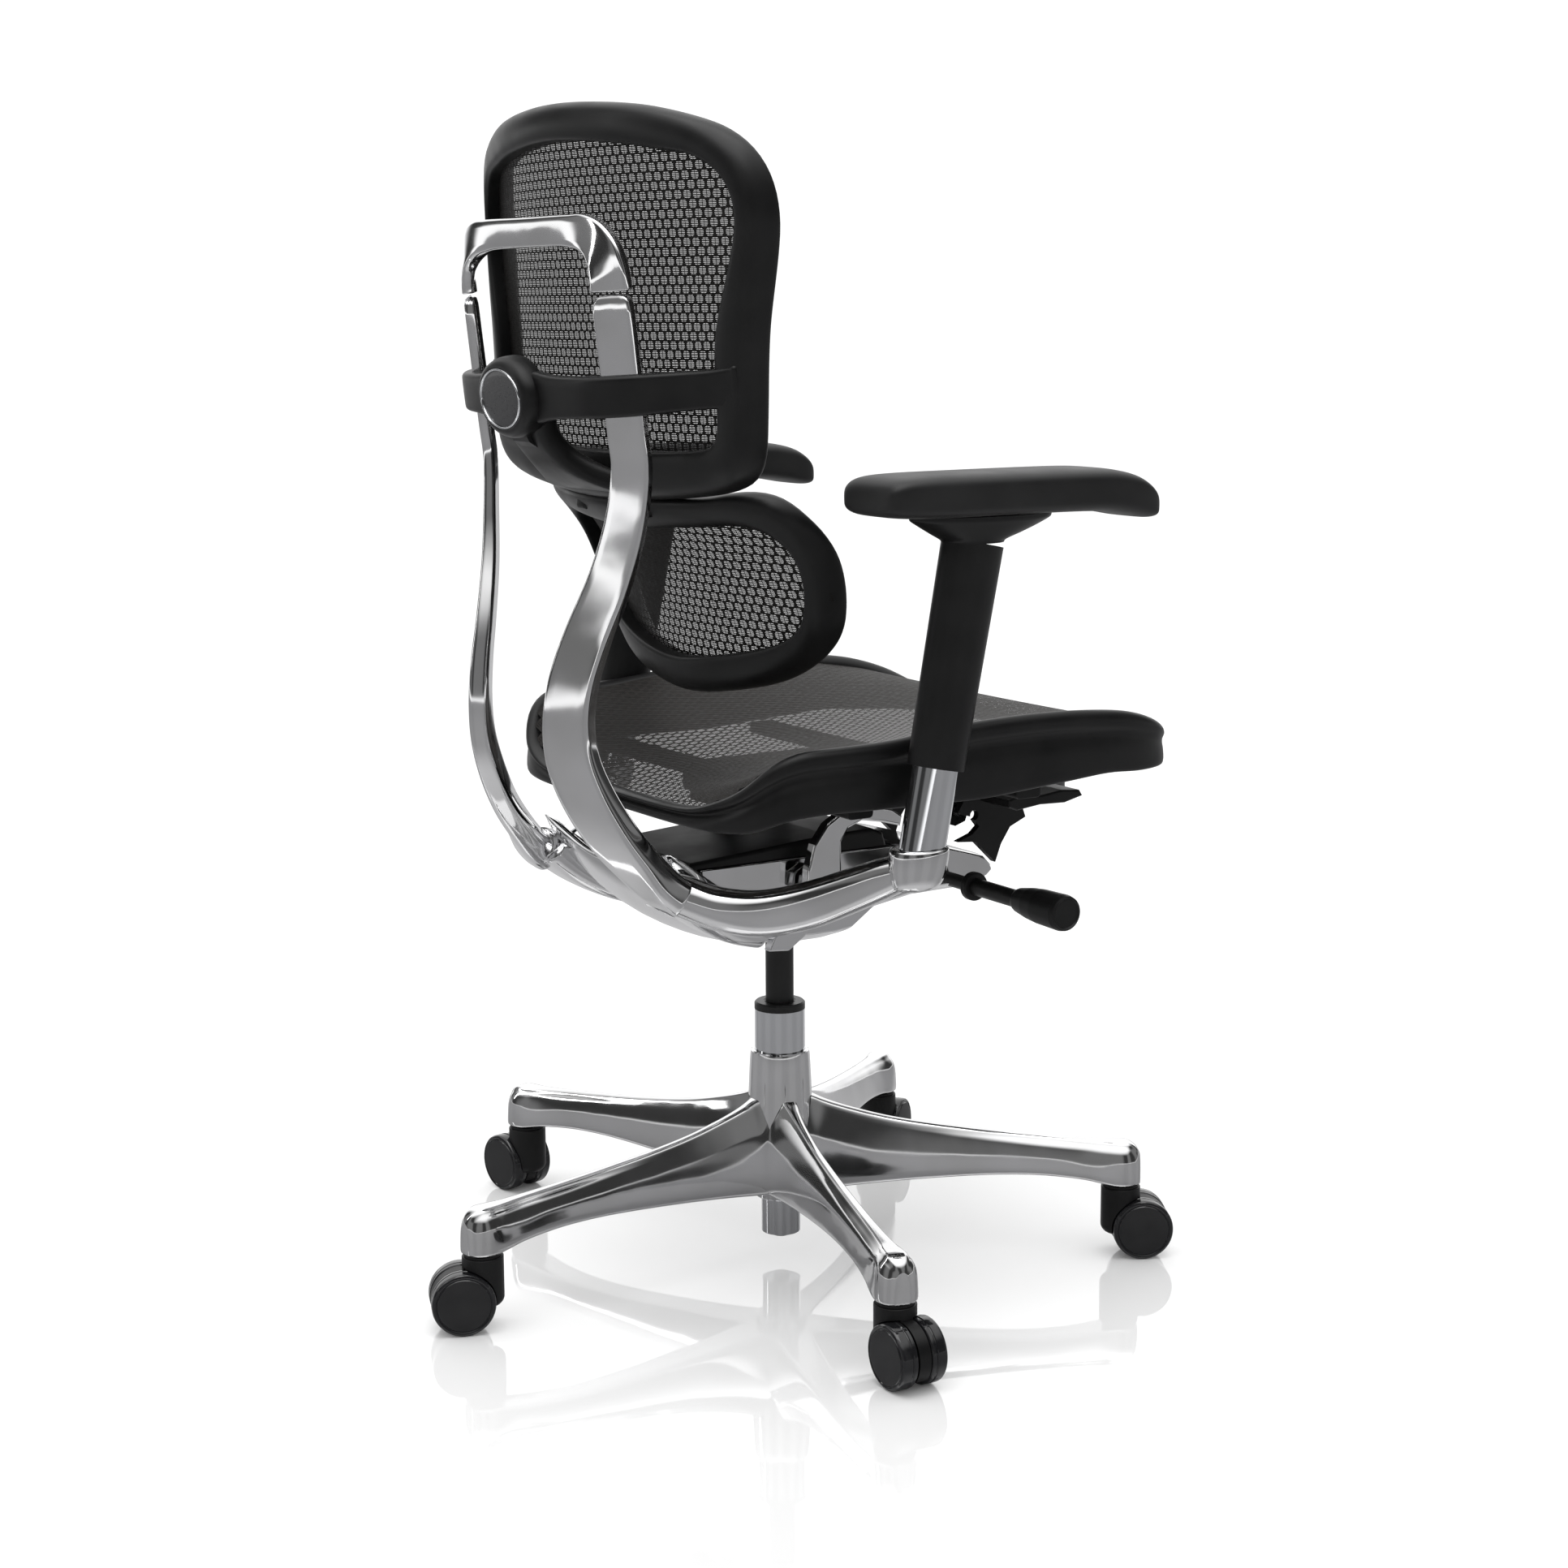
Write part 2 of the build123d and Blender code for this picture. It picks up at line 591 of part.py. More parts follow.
def front_prism(points):
    """Prism front to back from a closed smooth (side, height) outline."""
    face = make_face(Spline(*[at(s, -420, z) for s, z in points], periodic=True))
    return extrude(face, amount=520, dir=(0, -1, 0))


BACK_HALF = [(0, 1121), (60, 1119), (125, 1113), (180, 1101), (214, 1087), (236, 1066), (247, 1038), (250, 1005)]
BACK_HALF += [(246, 960), (240, 925), (236, 892), (233, 845), (228, 812), (210, 793), (166, 782), (75, 772), (0, 770)]
WINDOW_HALF = [(0, 1087), (100, 1083), (150, 1075), (190, 1060), (212, 1038), (219, 1010), (214, 980), (204, 945)]
WINDOW_HALF += [(197, 905), (196, 858), (193, 830), (178, 817), (100, 813), (0, 812)]
BACK_SIDES = [-260 + 40 * i for i in range(14)]
BACK_HEIGHTS = [750 + 30 * i for i in range(14)]


def back_frame():
    body = slab(back_depth, BACK_SIDES, BACK_HEIGHTS, 0, 34)
    body = body & front_prism(both_sides(BACK_HALF))
    body -= front_prism(both_sides(WINDOW_HALF))
    body = one(body)
    body = one(try_fillet(body, body.edges(), 6))
    for side in (-60, 60):
        body -= box((side - 12, side + 12), (-187, -150), (755, 794))
        body += cyl_x(3.0, side - 14, side + 14, *LUMBAR_PIVOT)
    return one(body)


def back_mesh():
    sheet = slab(back_depth, BACK_SIDES, BACK_HEIGHTS, 15, 1.6)
    return one(sheet & front_prism(both_sides(WINDOW_HALF)))


def slide_frame(z):
    """Plane across the straight part of the uprights at a height on the middle plane."""
    lean = Vector(0, UPRIGHT_SLOPE, 1).normalized()
    y = 237.0 + (z - 815.0) * UPRIGHT_SLOPE
    return Plane(origin=(0, y, z), x_dir=(1, 0, 0), z_dir=lean)


def back_carrier():
    here = slide_frame(866)
    half = [(0, 36), (60, 36), (100, 34), (130, 27), (152, 15), (170, -3), (188, -24), (207, -46), (224, -64)]
    half += [(217, -71), (196, -56), (176, -38), (163, -27), (152, -23), (138, -17), (116, 0), (104, 12), (92, 20)]
    half += [(0, 22)]
    pts = [(s, v) for s, v in half] + [(-s, v) for s, v in reversed(half[1:-1])]
    band = extrude(here * make_face(Polyline(*[(-s, v) for s, v in pts], close=True)), amount=17, both=True)
    band = try_fillet(band, band.edges().filter_by(lambda e: e.length > 15 and e.center().Y > 262), 3)
    dome = loft([here.offset(0) * Pos(0, 0, 0) * Pos(0, 26, 0) * Rot(90, 0, 0) * Ellipse(50, 37),
                 here * Pos(0, 44, 0) * Rot(90, 0, 0) * Ellipse(47, 34)])
    dome += loft([here * Pos(0, 44, 0) * Rot(90, 0, 0) * Ellipse(47, 34),
                  here * Pos(0, 50, 0) * Rot(90, 0, 0) * Ellipse(41, 29)])
    web = loft([
        Plane(origin=at(0, -262, 850), x_dir=(1, 0, 0), z_dir=(0, -0.5, -1)) * RectangleRounded(74, 26, 8),
        Plane(origin=at(0, -246, 818), x_dir=(1, 0, 0), z_dir=(0, -0.5, -1)) * RectangleRounded(66, 24, 8),
        Plane(origin=at(0, -213, 786), x_dir=(1, 0, 0), z_dir=(0, -0.9, -1)) * RectangleRounded(116, 22, 8),
    ])
    body = band + dome + web
    for sign in (-1, 1):
        gap = here * Pos(-sign * 140, 0, 0) * Rot(0, 0, sign * 32) * Rectangle(38.8, 11.8)
        body -= extrude(gap, amount=60, both=True)
    body -= here * Pos(0, 50, 0) * Rot(90, 0, 0) * extrude(Ellipse(37.5, 25.5), amount=4, both=True)
    body -= slab(back_depth, BACK_SIDES, BACK_HEIGHTS, 0, 80)
    body -= box((-17, 17), (-290, -252), (812, 840))
    body -= cyl_x(1.5 + RUN, -21, 21, *CATCH_PIVOT)
    return one(body)


def badge_cap():
    here = slide_frame(866)
    body = here * Pos(0, 46, 0) * Rot(90, 0, 0) * extrude(Ellipse(37.5, 25.5), amount=-3.5)
    rim = here * Pos(0, 49.5, 0) * Rot(90, 0, 0) * extrude(Ellipse(37.5, 25.5) - Ellipse(35, 23), amount=-1.5)
    return one(body + rim)


def height_catch():
    body = profile([(-277, 832), (-272, 822), (-264, 817), (-256, 820), (-260, 830), (-266, 836)], -16, 16)
    body += cyl_x(1.5, -20, 20, *CATCH_PIVOT)
    return one(body)


# ---- lumbar support -----------------------------------------------------
LUMBAR_D0 = [(575, -111), (630, -123), (680, -139), (720, -156), (745, -174), (764, -190), (780, -196)]


def lumbar_depth(side, up):
    return blend(LUMBAR_D0, up) + 0.0013 * side * side


LUMBAR_HALF = [(0, 764), (90, 765), (145, 769), (180, 767), (202, 754), (208, 732), (204, 704), (197, 675)]
LUMBAR_HALF += [(184, 645), (161, 620), (125, 601), (70, 588), (0, 582)]
LUMBAR_WINDOW = [(0, 738), (90, 739), (140, 740), (168, 732), (178, 714), (176, 688), (164, 658), (140, 637)]
LUMBAR_WINDOW += [(105, 624), (55, 616), (0, 613)]
LUMBAR_SIDES = [-210 + 35 * i for i in range(13)]
LUMBAR_HEIGHTS = [570 + 17.5 * i for i in range(13)]


def lumbar_frame():
    body = slab(lumbar_depth, LUMBAR_SIDES, LUMBAR_HEIGHTS, 0, 40)
    body = body & front_prism(both_sides(LUMBAR_HALF))
    body -= front_prism(both_sides(LUMBAR_WINDOW))
    body = one(try_fillet(one(body), body.edges(), 8))
    for side in (-60, 60):
        body += box((side - 10, side + 10), (-180, -164), (744, 788))
    body -= cyl_x(3.0 + RUN, -80, 80, *LUMBAR_PIVOT)
    return one(body)


def lumbar_mesh():
    sheet = slab(lumbar_depth, LUMBAR_SIDES, LUMBAR_HEIGHTS, 18, 1.6)
    return one(sheet & front_prism(both_sides(LUMBAR_WINDOW)))


def build_all():
    save(star_base(), "star_base")
    save(column_tube(), "column_tube")
    save(column_collar(), "column_collar")
    save(piston_rod(), "piston_rod")
    save(gas_cylinder(), "gas_cylinder")
    hood, stem = caster_hood(), caster_stem()
    inner, outer = caster_wheel(-1), caster_wheel(1)
    for k in range(5):
        save(place_caster(hood, k), "caster_%d_hood" % (k + 1))
        save(place_caster(stem, k), "caster_%d_stem" % (k + 1))
        save(place_caster(inner, k), "caster_%d_wheel_a" % (k + 1))
        save(place_caster(outer, k), "caster_%d_wheel_b" % (k + 1))
    save(housing(), "mechanism_housing")
    save(top_cover(), "mechanism_cover")
    save(pivot_pin(), "recline_pin")
    save(seat_pivot_pin(), "seat_pin")
    save(crank_collar(), "crank_collar")
    save(crank_rod(), "crank_rod")
    save(crank_grip(), "crank_grip")
    save(upright(1), "upright_right")
    save(upright(-1), "upright_left")
    save(top_bridge(), "top_bridge")
    save(yoke(), "back_yoke")
    save(sync_arm(), "sync_arm_right")
    save(one(mirror_x(sync_arm())), "sync_arm_left")
    for name, make in (("arm_post", arm_post), ("arm_sleeve", arm_sleeve), ("arm_bracket", arm_bracket),
                       ("arm_pad", arm_pad)):
        shape = make()
        save(shape, name + "_right")
        save(one(mirror_x(shape)), name + "_left")
    save(seat_frame(), "seat_frame")
    save(seat_mesh(), "seat_mesh")
    save(seat_carrier(), "seat_carrier")
    save(paddle_lever(), "paddle_lever")
    save(back_frame(), "back_frame")
    save(back_mesh(), "back_mesh")
    save(back_carrier(), "back_carrier")
    save(badge_cap(), "badge_cap")
    save(height_catch(), "height_catch")
    save(lumbar_frame(), "lumbar_frame")
    save(lumbar_mesh(), "lumbar_mesh")


build_all()
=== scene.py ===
"""Looks for a swivel office chair: polished star base and lyre frame, black plastic rims, open woven mesh.

Lengths in the tables are millimetres as (side, forward, up): side is towards the sitter's right,
forward is the way the sitter faces, and up is height above the floor.
"""

import math

import bmesh
import bpy
from mathutils import Matrix, Vector


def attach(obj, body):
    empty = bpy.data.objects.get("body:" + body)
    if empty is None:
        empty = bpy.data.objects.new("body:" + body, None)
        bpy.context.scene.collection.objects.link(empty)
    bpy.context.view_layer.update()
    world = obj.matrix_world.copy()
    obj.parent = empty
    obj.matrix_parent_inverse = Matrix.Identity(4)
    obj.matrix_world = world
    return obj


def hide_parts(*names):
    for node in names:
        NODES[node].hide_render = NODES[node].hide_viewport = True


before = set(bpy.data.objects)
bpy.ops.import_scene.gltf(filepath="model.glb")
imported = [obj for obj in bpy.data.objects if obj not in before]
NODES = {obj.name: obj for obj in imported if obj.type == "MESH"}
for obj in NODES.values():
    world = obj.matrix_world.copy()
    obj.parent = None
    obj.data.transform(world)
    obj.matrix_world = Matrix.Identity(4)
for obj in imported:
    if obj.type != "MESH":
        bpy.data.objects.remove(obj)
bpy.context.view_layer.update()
MM = 0.001

# ---- driving dimensions, the same as the CAD model's --------------------
BASE_RADIUS = 341.2
BASE_YAW = 93.34
CASTER_TRAIL = 20.0
CASTER_YAWS = (69.5, 179.0, 241.0, 307.0, 10.0)
WHEEL_R = 30.0
UPRIGHT_SLOPE = 0.1114
ARM_X = 288.0

# ---- helpers ------------------------------------------------------------
def point(side, fwd, up):
    """A place in the row frame, in metres."""
    return Vector((-side, -fwd, up)) * MM


def lerp_table(table, v):
    """Piecewise straight lookup of a value in (key, value) rows."""
    if v <= table[0][0]:
        return table[0][1]
    for (a, va), (b, vb) in zip(table, table[1:]):
        if v <= b:
            return va + (vb - va) * (v - a) / (b - a)
    return table[-1][1]


def smooth_table(table, v):
    """Lookup with a smooth curve through the rows."""
    keys = [row[0] for row in table]
    if v <= keys[0]:
        return table[0][1]
    if v >= keys[-1]:
        return table[-1][1]
    i = max(k for k in range(len(keys) - 1) if keys[k] <= v)
    slopes = []
    for j in (i, i + 1):
        lo, hi = max(j - 1, 0), min(j + 1, len(keys) - 1)
        slopes.append((table[hi][1] - table[lo][1]) / (keys[hi] - keys[lo]))
    step = keys[i + 1] - keys[i]
    t = (v - keys[i]) / step
    h00, h10 = 2 * t**3 - 3 * t**2 + 1, t**3 - 2 * t**2 + t
    h01, h11 = 3 * t**2 - 2 * t**3, t**3 - t**2
    return h00 * table[i][1] + h10 * step * slopes[0] + h01 * table[i + 1][1] + h11 * step * slopes[1]


def curve_rows(rows, per, closed=False):
    """A smooth curve through rows of numbers, with per steps between neighbours."""
    out = []
    n = len(rows)
    for i in range(n if closed else n - 1):
        if closed:
            four = [rows[(i + k) % n] for k in (-1, 0, 1, 2)]
        else:
            four = [rows[min(max(i + k, 0), n - 1)] for k in (-1, 0, 1, 2)]
        for j in range(per):
            t = j / per
            row = []
            for a, b, c, d in zip(*four):
                bend = (2 * a - 5 * b + 4 * c - d) * t * t + (3 * b - a - 3 * c + d) * t**3
                row.append(0.5 * (2 * b + (c - a) * t + bend))
            out.append(row)
    if not closed:
        out.append(list(rows[-1]))
    return out


def mirrored_outline(half):
    """Closed outline from a half that starts and ends on the middle plane."""
    return list(half) + [(-a, b) for a, b in reversed(half[1:-1])]


def even_outline(half, count):
    """The smooth closed outline through a half and its mirror, as 2 * count even steps."""
    fine = curve_rows(mirrored_outline(half), 12, closed=True)
    fine = fine[: len(fine) // 2 + 1]
    lengths = [0.0]
    for a, b in zip(fine, fine[1:]):
        lengths.append(lengths[-1] + math.dist(a, b))
    right = []
    j = 0
    for i in range(count + 1):
        want = lengths[-1] * i / count
        while j < len(fine) - 2 and lengths[j + 1] < want:
            j += 1
        t = (want - lengths[j]) / (lengths[j + 1] - lengths[j])
        right.append([fine[j][k] + (fine[j + 1][k] - fine[j][k]) * t for k in (0, 1)])
    right[0][0] = right[-1][0] = 0.0
    return right + [[-a, b] for a, b in reversed(right[1:-1])]


def inward(outline):
    """Unit vectors pointing into a closed outline, one per point."""
    n = len(outline)
    pairs = [(outline[i], outline[(i + 1) % n]) for i in range(n)]
    area = sum(a[0] * b[1] - b[0] * a[1] for a, b in pairs)
    turn = 1 if area > 0 else -1
    out = []
    for i in range(n):
        ax, ay = outline[i - 1]
        bx, by = outline[(i + 1) % n]
        size = math.hypot(bx - ax, by - ay) or 1.0
        out.append((-turn * (by - ay) / size, turn * (bx - ax) / size))
    return out


def inside(outline, x, y):
    """Whether a point is inside a closed outline."""
    hit = False
    for i in range(len(outline)):
        (ax, ay), (bx, by) = outline[i - 1], outline[i]
        if (ay > y) != (by > y) and x < (bx - ax) * (y - ay) / (by - ay) + ax:
            hit = not hit
    return hit


def rounded(w, t, r, steps=4):
    """Outline of a rounded rectangle w by t."""
    r = min(r, 0.499 * w, 0.499 * t)
    out = []
    for k, (cx, cy) in enumerate(((1, 1), (-1, 1), (-1, -1), (1, -1))):
        for j in range(steps + 1):
            a = math.radians(90 * k + 90 * j / steps)
            out.append((cx * (w / 2 - r) + r * math.cos(a), cy * (t / 2 - r) + r * math.sin(a)))
    return out


def superellipse(w, t, power, count=32):
    """Outline between an ellipse (power 2) and a rectangle (high power)."""
    out = []
    for k in range(count):
        c, s = math.cos(2 * math.pi * k / count), math.sin(2 * math.pi * k / count)
        across = w / 2 * math.copysign(abs(c) ** (2 / power), c)
        along = t / 2 * math.copysign(abs(s) ** (2 / power), s)
        out.append((across, along))
    return out


def loft(rings, closed=False, caps=True):
    """Vertices and faces of a skin over rings of equal length."""
    n, m = len(rings[0]), len(rings)
    verts = [v for ring in rings for v in ring]
    faces = []
    for i in range(m if closed else m - 1):
        j = (i + 1) % m
        for k in range(n):
            h = (k + 1) % n
            faces.append((i * n + k, i * n + h, j * n + h, j * n + k))
    if caps and not closed:
        faces.append(tuple(reversed(range(n))))
        faces.append(tuple((m - 1) * n + k for k in range(n)))
    return verts, faces


def merge(*parts):
    """Several (vertices, faces) as one."""
    verts, faces = [], []
    for vs, fs in parts:
        shift = len(verts)
        verts += vs
        faces += [tuple(i + shift for i in f) for f in fs]
    return verts, faces


def flip(part):
    """Mirror image on the other side of the chair."""
    verts, faces = part
    return [Vector((-v.x, v.y, v.z)) for v in verts], [tuple(reversed(f)) for f in faces]


def sweep(rows, per=6, ends=(0, 0), steps=4):
    """Skin along rows of (side, fwd, up, wide, thick, radius, wx, wy, wz).

    The last three numbers are the direction of the section's width.  ends are the
    rounding radii at the two ends.
    """
    fine = curve_rows(rows, per) if per > 1 else [list(r) for r in rows]
    centres = [point(*r[:3]) for r in fine]
    rings = []
    last = len(fine) - 1
    for i, row in enumerate(fine):
        tangent = (centres[min(i + 1, last)] - centres[max(i - 1, 0)]).normalized()
        wide = Vector(row[6:9])
        wide = (wide - tangent * wide.dot(tangent)).normalized()
        thick = tangent.cross(wide)
        outline = rounded(row[3], row[4], row[5], steps)
        rings.append((centres[i], tangent, wide, thick, outline))
    out = []

    def ring(entry, shift=0.0, shrink=0.0):
        c, tan, wide, thick, outline = entry
        big = max(abs(u) for u, _ in outline), max(abs(v) for _, v in outline)
        ku, kv = 1 - shrink / big[0], 1 - shrink / big[1]
        return [c + (tan * shift + wide * (u * ku) + thick * (v * kv)) * MM for u, v in outline]

    turns = [math.radians(a) for a in (90, 60, 30)]
    if ends[0]:
        for a in turns:
            out.append(ring(rings[0], -ends[0] * math.sin(a), ends[0] * (1 - math.cos(a)) * 0.96))
    out += [ring(r) for r in rings]
    if ends[1]:
        for a in reversed(turns):
            out.append(ring(rings[-1], ends[1] * math.sin(a), ends[1] * (1 - math.cos(a)) * 0.96))
    return loft(out)


def revolve(profile, origin, axis, count=64, scale=(1.0, 1.0), across=None):
    """Skin of a (radius, height) profile turned about an axis through origin."""
    axis = axis.normalized()
    if across is None:
        across = Vector((0, 0, 1)) if abs(axis.z) < 0.9 else Vector((1, 0, 0))
    u = (across - axis * across.dot(axis)).normalized()
    v = axis.cross(u)
    rings = []
    for r, h in profile:
        ring = []
        for k in range(count):
            a = 2 * math.pi * k / count
            spread = u * (math.cos(a) * r * scale[0]) + v * (math.sin(a) * r * scale[1])
            ring.append(origin + (axis * h + spread) * MM)
        rings.append(ring)
    return loft(rings)


def prism(outline, side0, side1):
    """Block across the chair from a (fwd, up) outline."""
    return loft([[point(s, f, z) for f, z in outline] for s in (side0, side1)])


SCENE = bpy.context.scene


def build(name, part, body, mats, replaces=(), levels=0, bevel=0.0, sharp=40, pick=None):
    """Makes a piece from (vertices, faces), in place and riding on its body."""
    mesh = bpy.data.meshes.new(name)
    mesh.from_pydata([tuple(v) for v in part[0]], [], part[1])
    work = bmesh.new()
    work.from_mesh(mesh)
    bmesh.ops.remove_doubles(work, verts=work.verts, dist=1e-6)
    bmesh.ops.recalc_face_normals(work, faces=work.faces)
    work.to_mesh(mesh)
    work.free()
    mesh.shade_smooth()
    if not levels:
        mesh.set_sharp_from_angle(angle=math.radians(sharp))
    for mat in mats:
        mesh.materials.append(mat)
    if pick:
        for poly in mesh.polygons:
            poly.material_index = pick(poly.center)
    obj = bpy.data.objects.new(name, mesh)
    SCENE.collection.objects.link(obj)
    if bevel:
        mod = obj.modifiers.new("edges", "BEVEL")
        mod.width = bevel * MM
        mod.segments = 3
        mod.limit_method = "ANGLE"
        mod.angle_limit = math.radians(35)
        mod.harden_normals = True
    if levels:
        mod = obj.modifiers.new("smooth", "SUBSURF")
        mod.levels = mod.render_levels = levels
    if replaces:
        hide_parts(*replaces)
    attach(obj, body)
    return obj


# ---- materials ----------------------------------------------------------
def material(name, dark, light, rough, metal=0.0, mottle=30.0, grain=900.0, grain_depth=0.02,
             wave=0.0, wave_scale=20.0, coat=0.0, coat_rough=0.05, sheen=0.0, specular=0.5, threads=0.0):
    """Principled material: mottled colour and roughness, a fine moulded grain and a slow ripple."""
    mat = bpy.data.materials.new(name)
    mat.use_nodes = True
    tree = mat.node_tree
    shader = tree.nodes["Principled BSDF"]
    shader.inputs["Metallic"].default_value = metal
    shader.inputs["Specular IOR Level"].default_value = specular
    shader.inputs["Coat Weight"].default_value = coat
    shader.inputs["Coat Roughness"].default_value = coat_rough
    shader.inputs["Sheen Weight"].default_value = sheen
    shader.inputs["Sheen Roughness"].default_value = 0.4
    where = tree.nodes.new("ShaderNodeTexCoord")

    def noise(scale, detail):
        node = tree.nodes.new("ShaderNodeTexNoise")
        node.inputs["Scale"].default_value = scale
        node.inputs["Detail"].default_value = detail
        tree.links.new(where.outputs["Object"], node.inputs["Vector"])
        return node

    clouds = noise(mottle, 4.0)
    ramp = tree.nodes.new("ShaderNodeValToRGB")
    ramp.color_ramp.elements[0].position = 0.35
    ramp.color_ramp.elements[1].position = 0.65
    ramp.color_ramp.elements[0].color = (*dark, 1)
    ramp.color_ramp.elements[1].color = (*light, 1)
    tree.links.new(clouds.outputs["Fac"], ramp.inputs["Fac"])
    tree.links.new(ramp.outputs["Color"], shader.inputs["Base Color"])
    spread = tree.nodes.new("ShaderNodeMapRange")
    spread.inputs["From Min"].default_value = 0.3
    spread.inputs["From Max"].default_value = 0.7
    spread.inputs["To Min"].default_value = rough[0]
    spread.inputs["To Max"].default_value = rough[1]
    tree.links.new(clouds.outputs["Fac"], spread.inputs["Value"])
    tree.links.new(spread.outputs["Result"], shader.inputs["Roughness"])
    normal = None
    layers = [(noise(wave_scale, 1.0), wave)] if wave else []
    if grain_depth:
        layers.append((noise(grain, 2.0), grain_depth))
    if threads:
        lines = tree.nodes.new("ShaderNodeTexWave")
        lines.wave_type = "BANDS"
        lines.bands_direction = "Z"
        lines.inputs["Scale"].default_value = 260.0
        lines.inputs["Distortion"].default_value = 1.5
        tree.links.new(where.outputs["Object"], lines.inputs["Vector"])
        layers.append((lines, threads))
    for source, depth in layers:
        bump = tree.nodes.new("ShaderNodeBump")
        bump.inputs["Strength"].default_value = 1.0
        bump.inputs["Distance"].default_value = depth * MM
        tree.links.new(source.outputs["Fac"], bump.inputs["Height"])
        if normal:
            tree.links.new(normal, bump.inputs["Normal"])
        normal = bump.outputs["Normal"]
    if normal:
        tree.links.new(normal, shader.inputs["Normal"])
    return mat


POLISHED = material("polished_aluminium", (0.80, 0.80, 0.80), (0.86, 0.86, 0.87), (0.06, 0.10), metal=1.0,
                    mottle=18, grain=1500, grain_depth=0.001, wave=0.35, wave_scale=22)
CHROME = material("chromed_steel", (0.80, 0.81, 0.83), (0.85, 0.86, 0.88), (0.03, 0.05), metal=1.0,
                  mottle=12, grain=1200, grain_depth=0.0005)
STEEL = material("turned_steel", (0.45, 0.45, 0.46), (0.55, 0.55, 0.56), (0.25, 0.38), metal=1.0,
                 mottle=60, grain=1800, grain_depth=0.004)
PLASTIC = material("moulded_black", (0.004, 0.004, 0.0042), (0.006, 0.006, 0.0062), (0.34, 0.44),
                   mottle=25, grain=1400, grain_depth=0.010, specular=0.30)
SATIN = material("satin_black", (0.005, 0.005, 0.005), (0.008, 0.008, 0.008), (0.30, 0.40),
                 mottle=25, grain=1800, grain_depth=0.006, specular=0.4)
PAD = material("soft_black", (0.006, 0.006, 0.0063), (0.009, 0.009, 0.0093), (0.44, 0.54),
               mottle=20, grain=1100, grain_depth=0.02, sheen=0.04, specular=0.35)
GLOSS = material("gloss_black", (0.006, 0.006, 0.007), (0.009, 0.009, 0.010), (0.10, 0.16),
                 mottle=20, grain=900, grain_depth=0.001, coat=0.4)
DISC = material("wheel_disc", (0.010, 0.010, 0.011), (0.014, 0.014, 0.015), (0.38, 0.46),
                mottle=35, grain=1500, grain_depth=0.01, specular=0.4)
WEAVE = material("mesh_yarn", (0.004, 0.0035, 0.003), (0.010, 0.009, 0.008), (0.55, 0.75),
                 mottle=180, grain=2200, grain_depth=0.05, specular=0.2, threads=0.12)
SEAT_WEAVE = material("seat_yarn", (0.007, 0.006, 0.005), (0.020, 0.017, 0.015), (0.55, 0.75),
                      mottle=220, grain=2200, grain_depth=0.06, sheen=0.05, specular=0.25, threads=0.12)
BADGE = material("badge_field", (0.008, 0.008, 0.009), (0.022, 0.022, 0.024), (0.25, 0.45),
                 mottle=500, grain=800, grain_depth=0.06, coat=0.3)

NODE_LOOKS = {
    "column_tube": CHROME, "arm_post": CHROME, "column_collar": SATIN, "gas_cylinder": SATIN,
    "piston_rod": STEEL, "recline_pin": STEEL, "seat_pin": STEEL, "_stem": STEEL,
    "star_base": POLISHED, "mechanism_housing": POLISHED, "back_yoke": POLISHED, "upright": POLISHED,
    "top_bridge": POLISHED, "sync_arm": POLISHED, "wheel": GLOSS, "arm_pad": PAD,
    "seat_mesh": WEAVE, "back_mesh": WEAVE, "lumbar_mesh": WEAVE, "badge_cap": BADGE, "crank_rod": SATIN,
}
for node_name, node in NODES.items():
    look = PLASTIC
    for key, mat in NODE_LOOKS.items():
        if key in node_name:
            look = mat
    if not node.data.materials:
        node.data.materials.append(look)
    for slot in node.material_slots:
        slot.material = look


# ---- casters ------------------------------------------------------------
def caster_frame(k):
    """Wheel centre and the directions across and along caster k."""
    a = math.radians(BASE_YAW + 72 * k)
    yaw = math.radians(CASTER_YAWS[k])
    along = Vector((math.cos(yaw), math.sin(yaw), 0))
    socket = Vector((math.cos(a), math.sin(a), 0)) * BASE_RADIUS * MM
    centre = socket + along * CASTER_TRAIL * MM + Vector((0, 0, WHEEL_R * MM))
    return centre, Vector((-along.y, along.x, 0)), along


DISC_EDGE = 24.6
WHEEL_PROFILE = [(3.1, 7), (27.6, 7), (28.9, 7.5), (29.8, 8.4), (30, 10), (30, 11.4), (29.3, 12.0),
                 (29.1, 12.6), (29.3, 13.2), (30, 13.8), (30, 20.6), (29.7, 22), (28.8, 23.1), (27.4, 23.6),
                 (26.6, 23.4), (26.0, 22.9), (25.5, 22.9), (25.2, 23.4), (DISC_EDGE, 23.9), (22, 24.2),
                 (12, 24.4), (3.1, 24.4)]


def make_wheels():
    for k in range(5):
        centre, across, _ = caster_frame(k)
        for letter, sign in (("a", -1), ("b", 1)):
            axis = across * sign
            node = "caster_%d_wheel_%s" % (k + 1, letter)

            def is_disc(c, centre=centre, axis=axis):
                rel = c - centre
                high = rel.dot(axis)
                far = (rel - axis * high).length
                return 1 if far < (DISC_EDGE - 0.1) * MM and high > 15 * MM else 0

            wheel = revolve(WHEEL_PROFILE, centre, axis, 96)
            build("caster_%d_tread_%s" % (k + 1, letter), wheel, "wheel_%d%s" % (k + 1, letter),
                  [GLOSS, DISC], (node,), sharp=28, pick=is_disc)


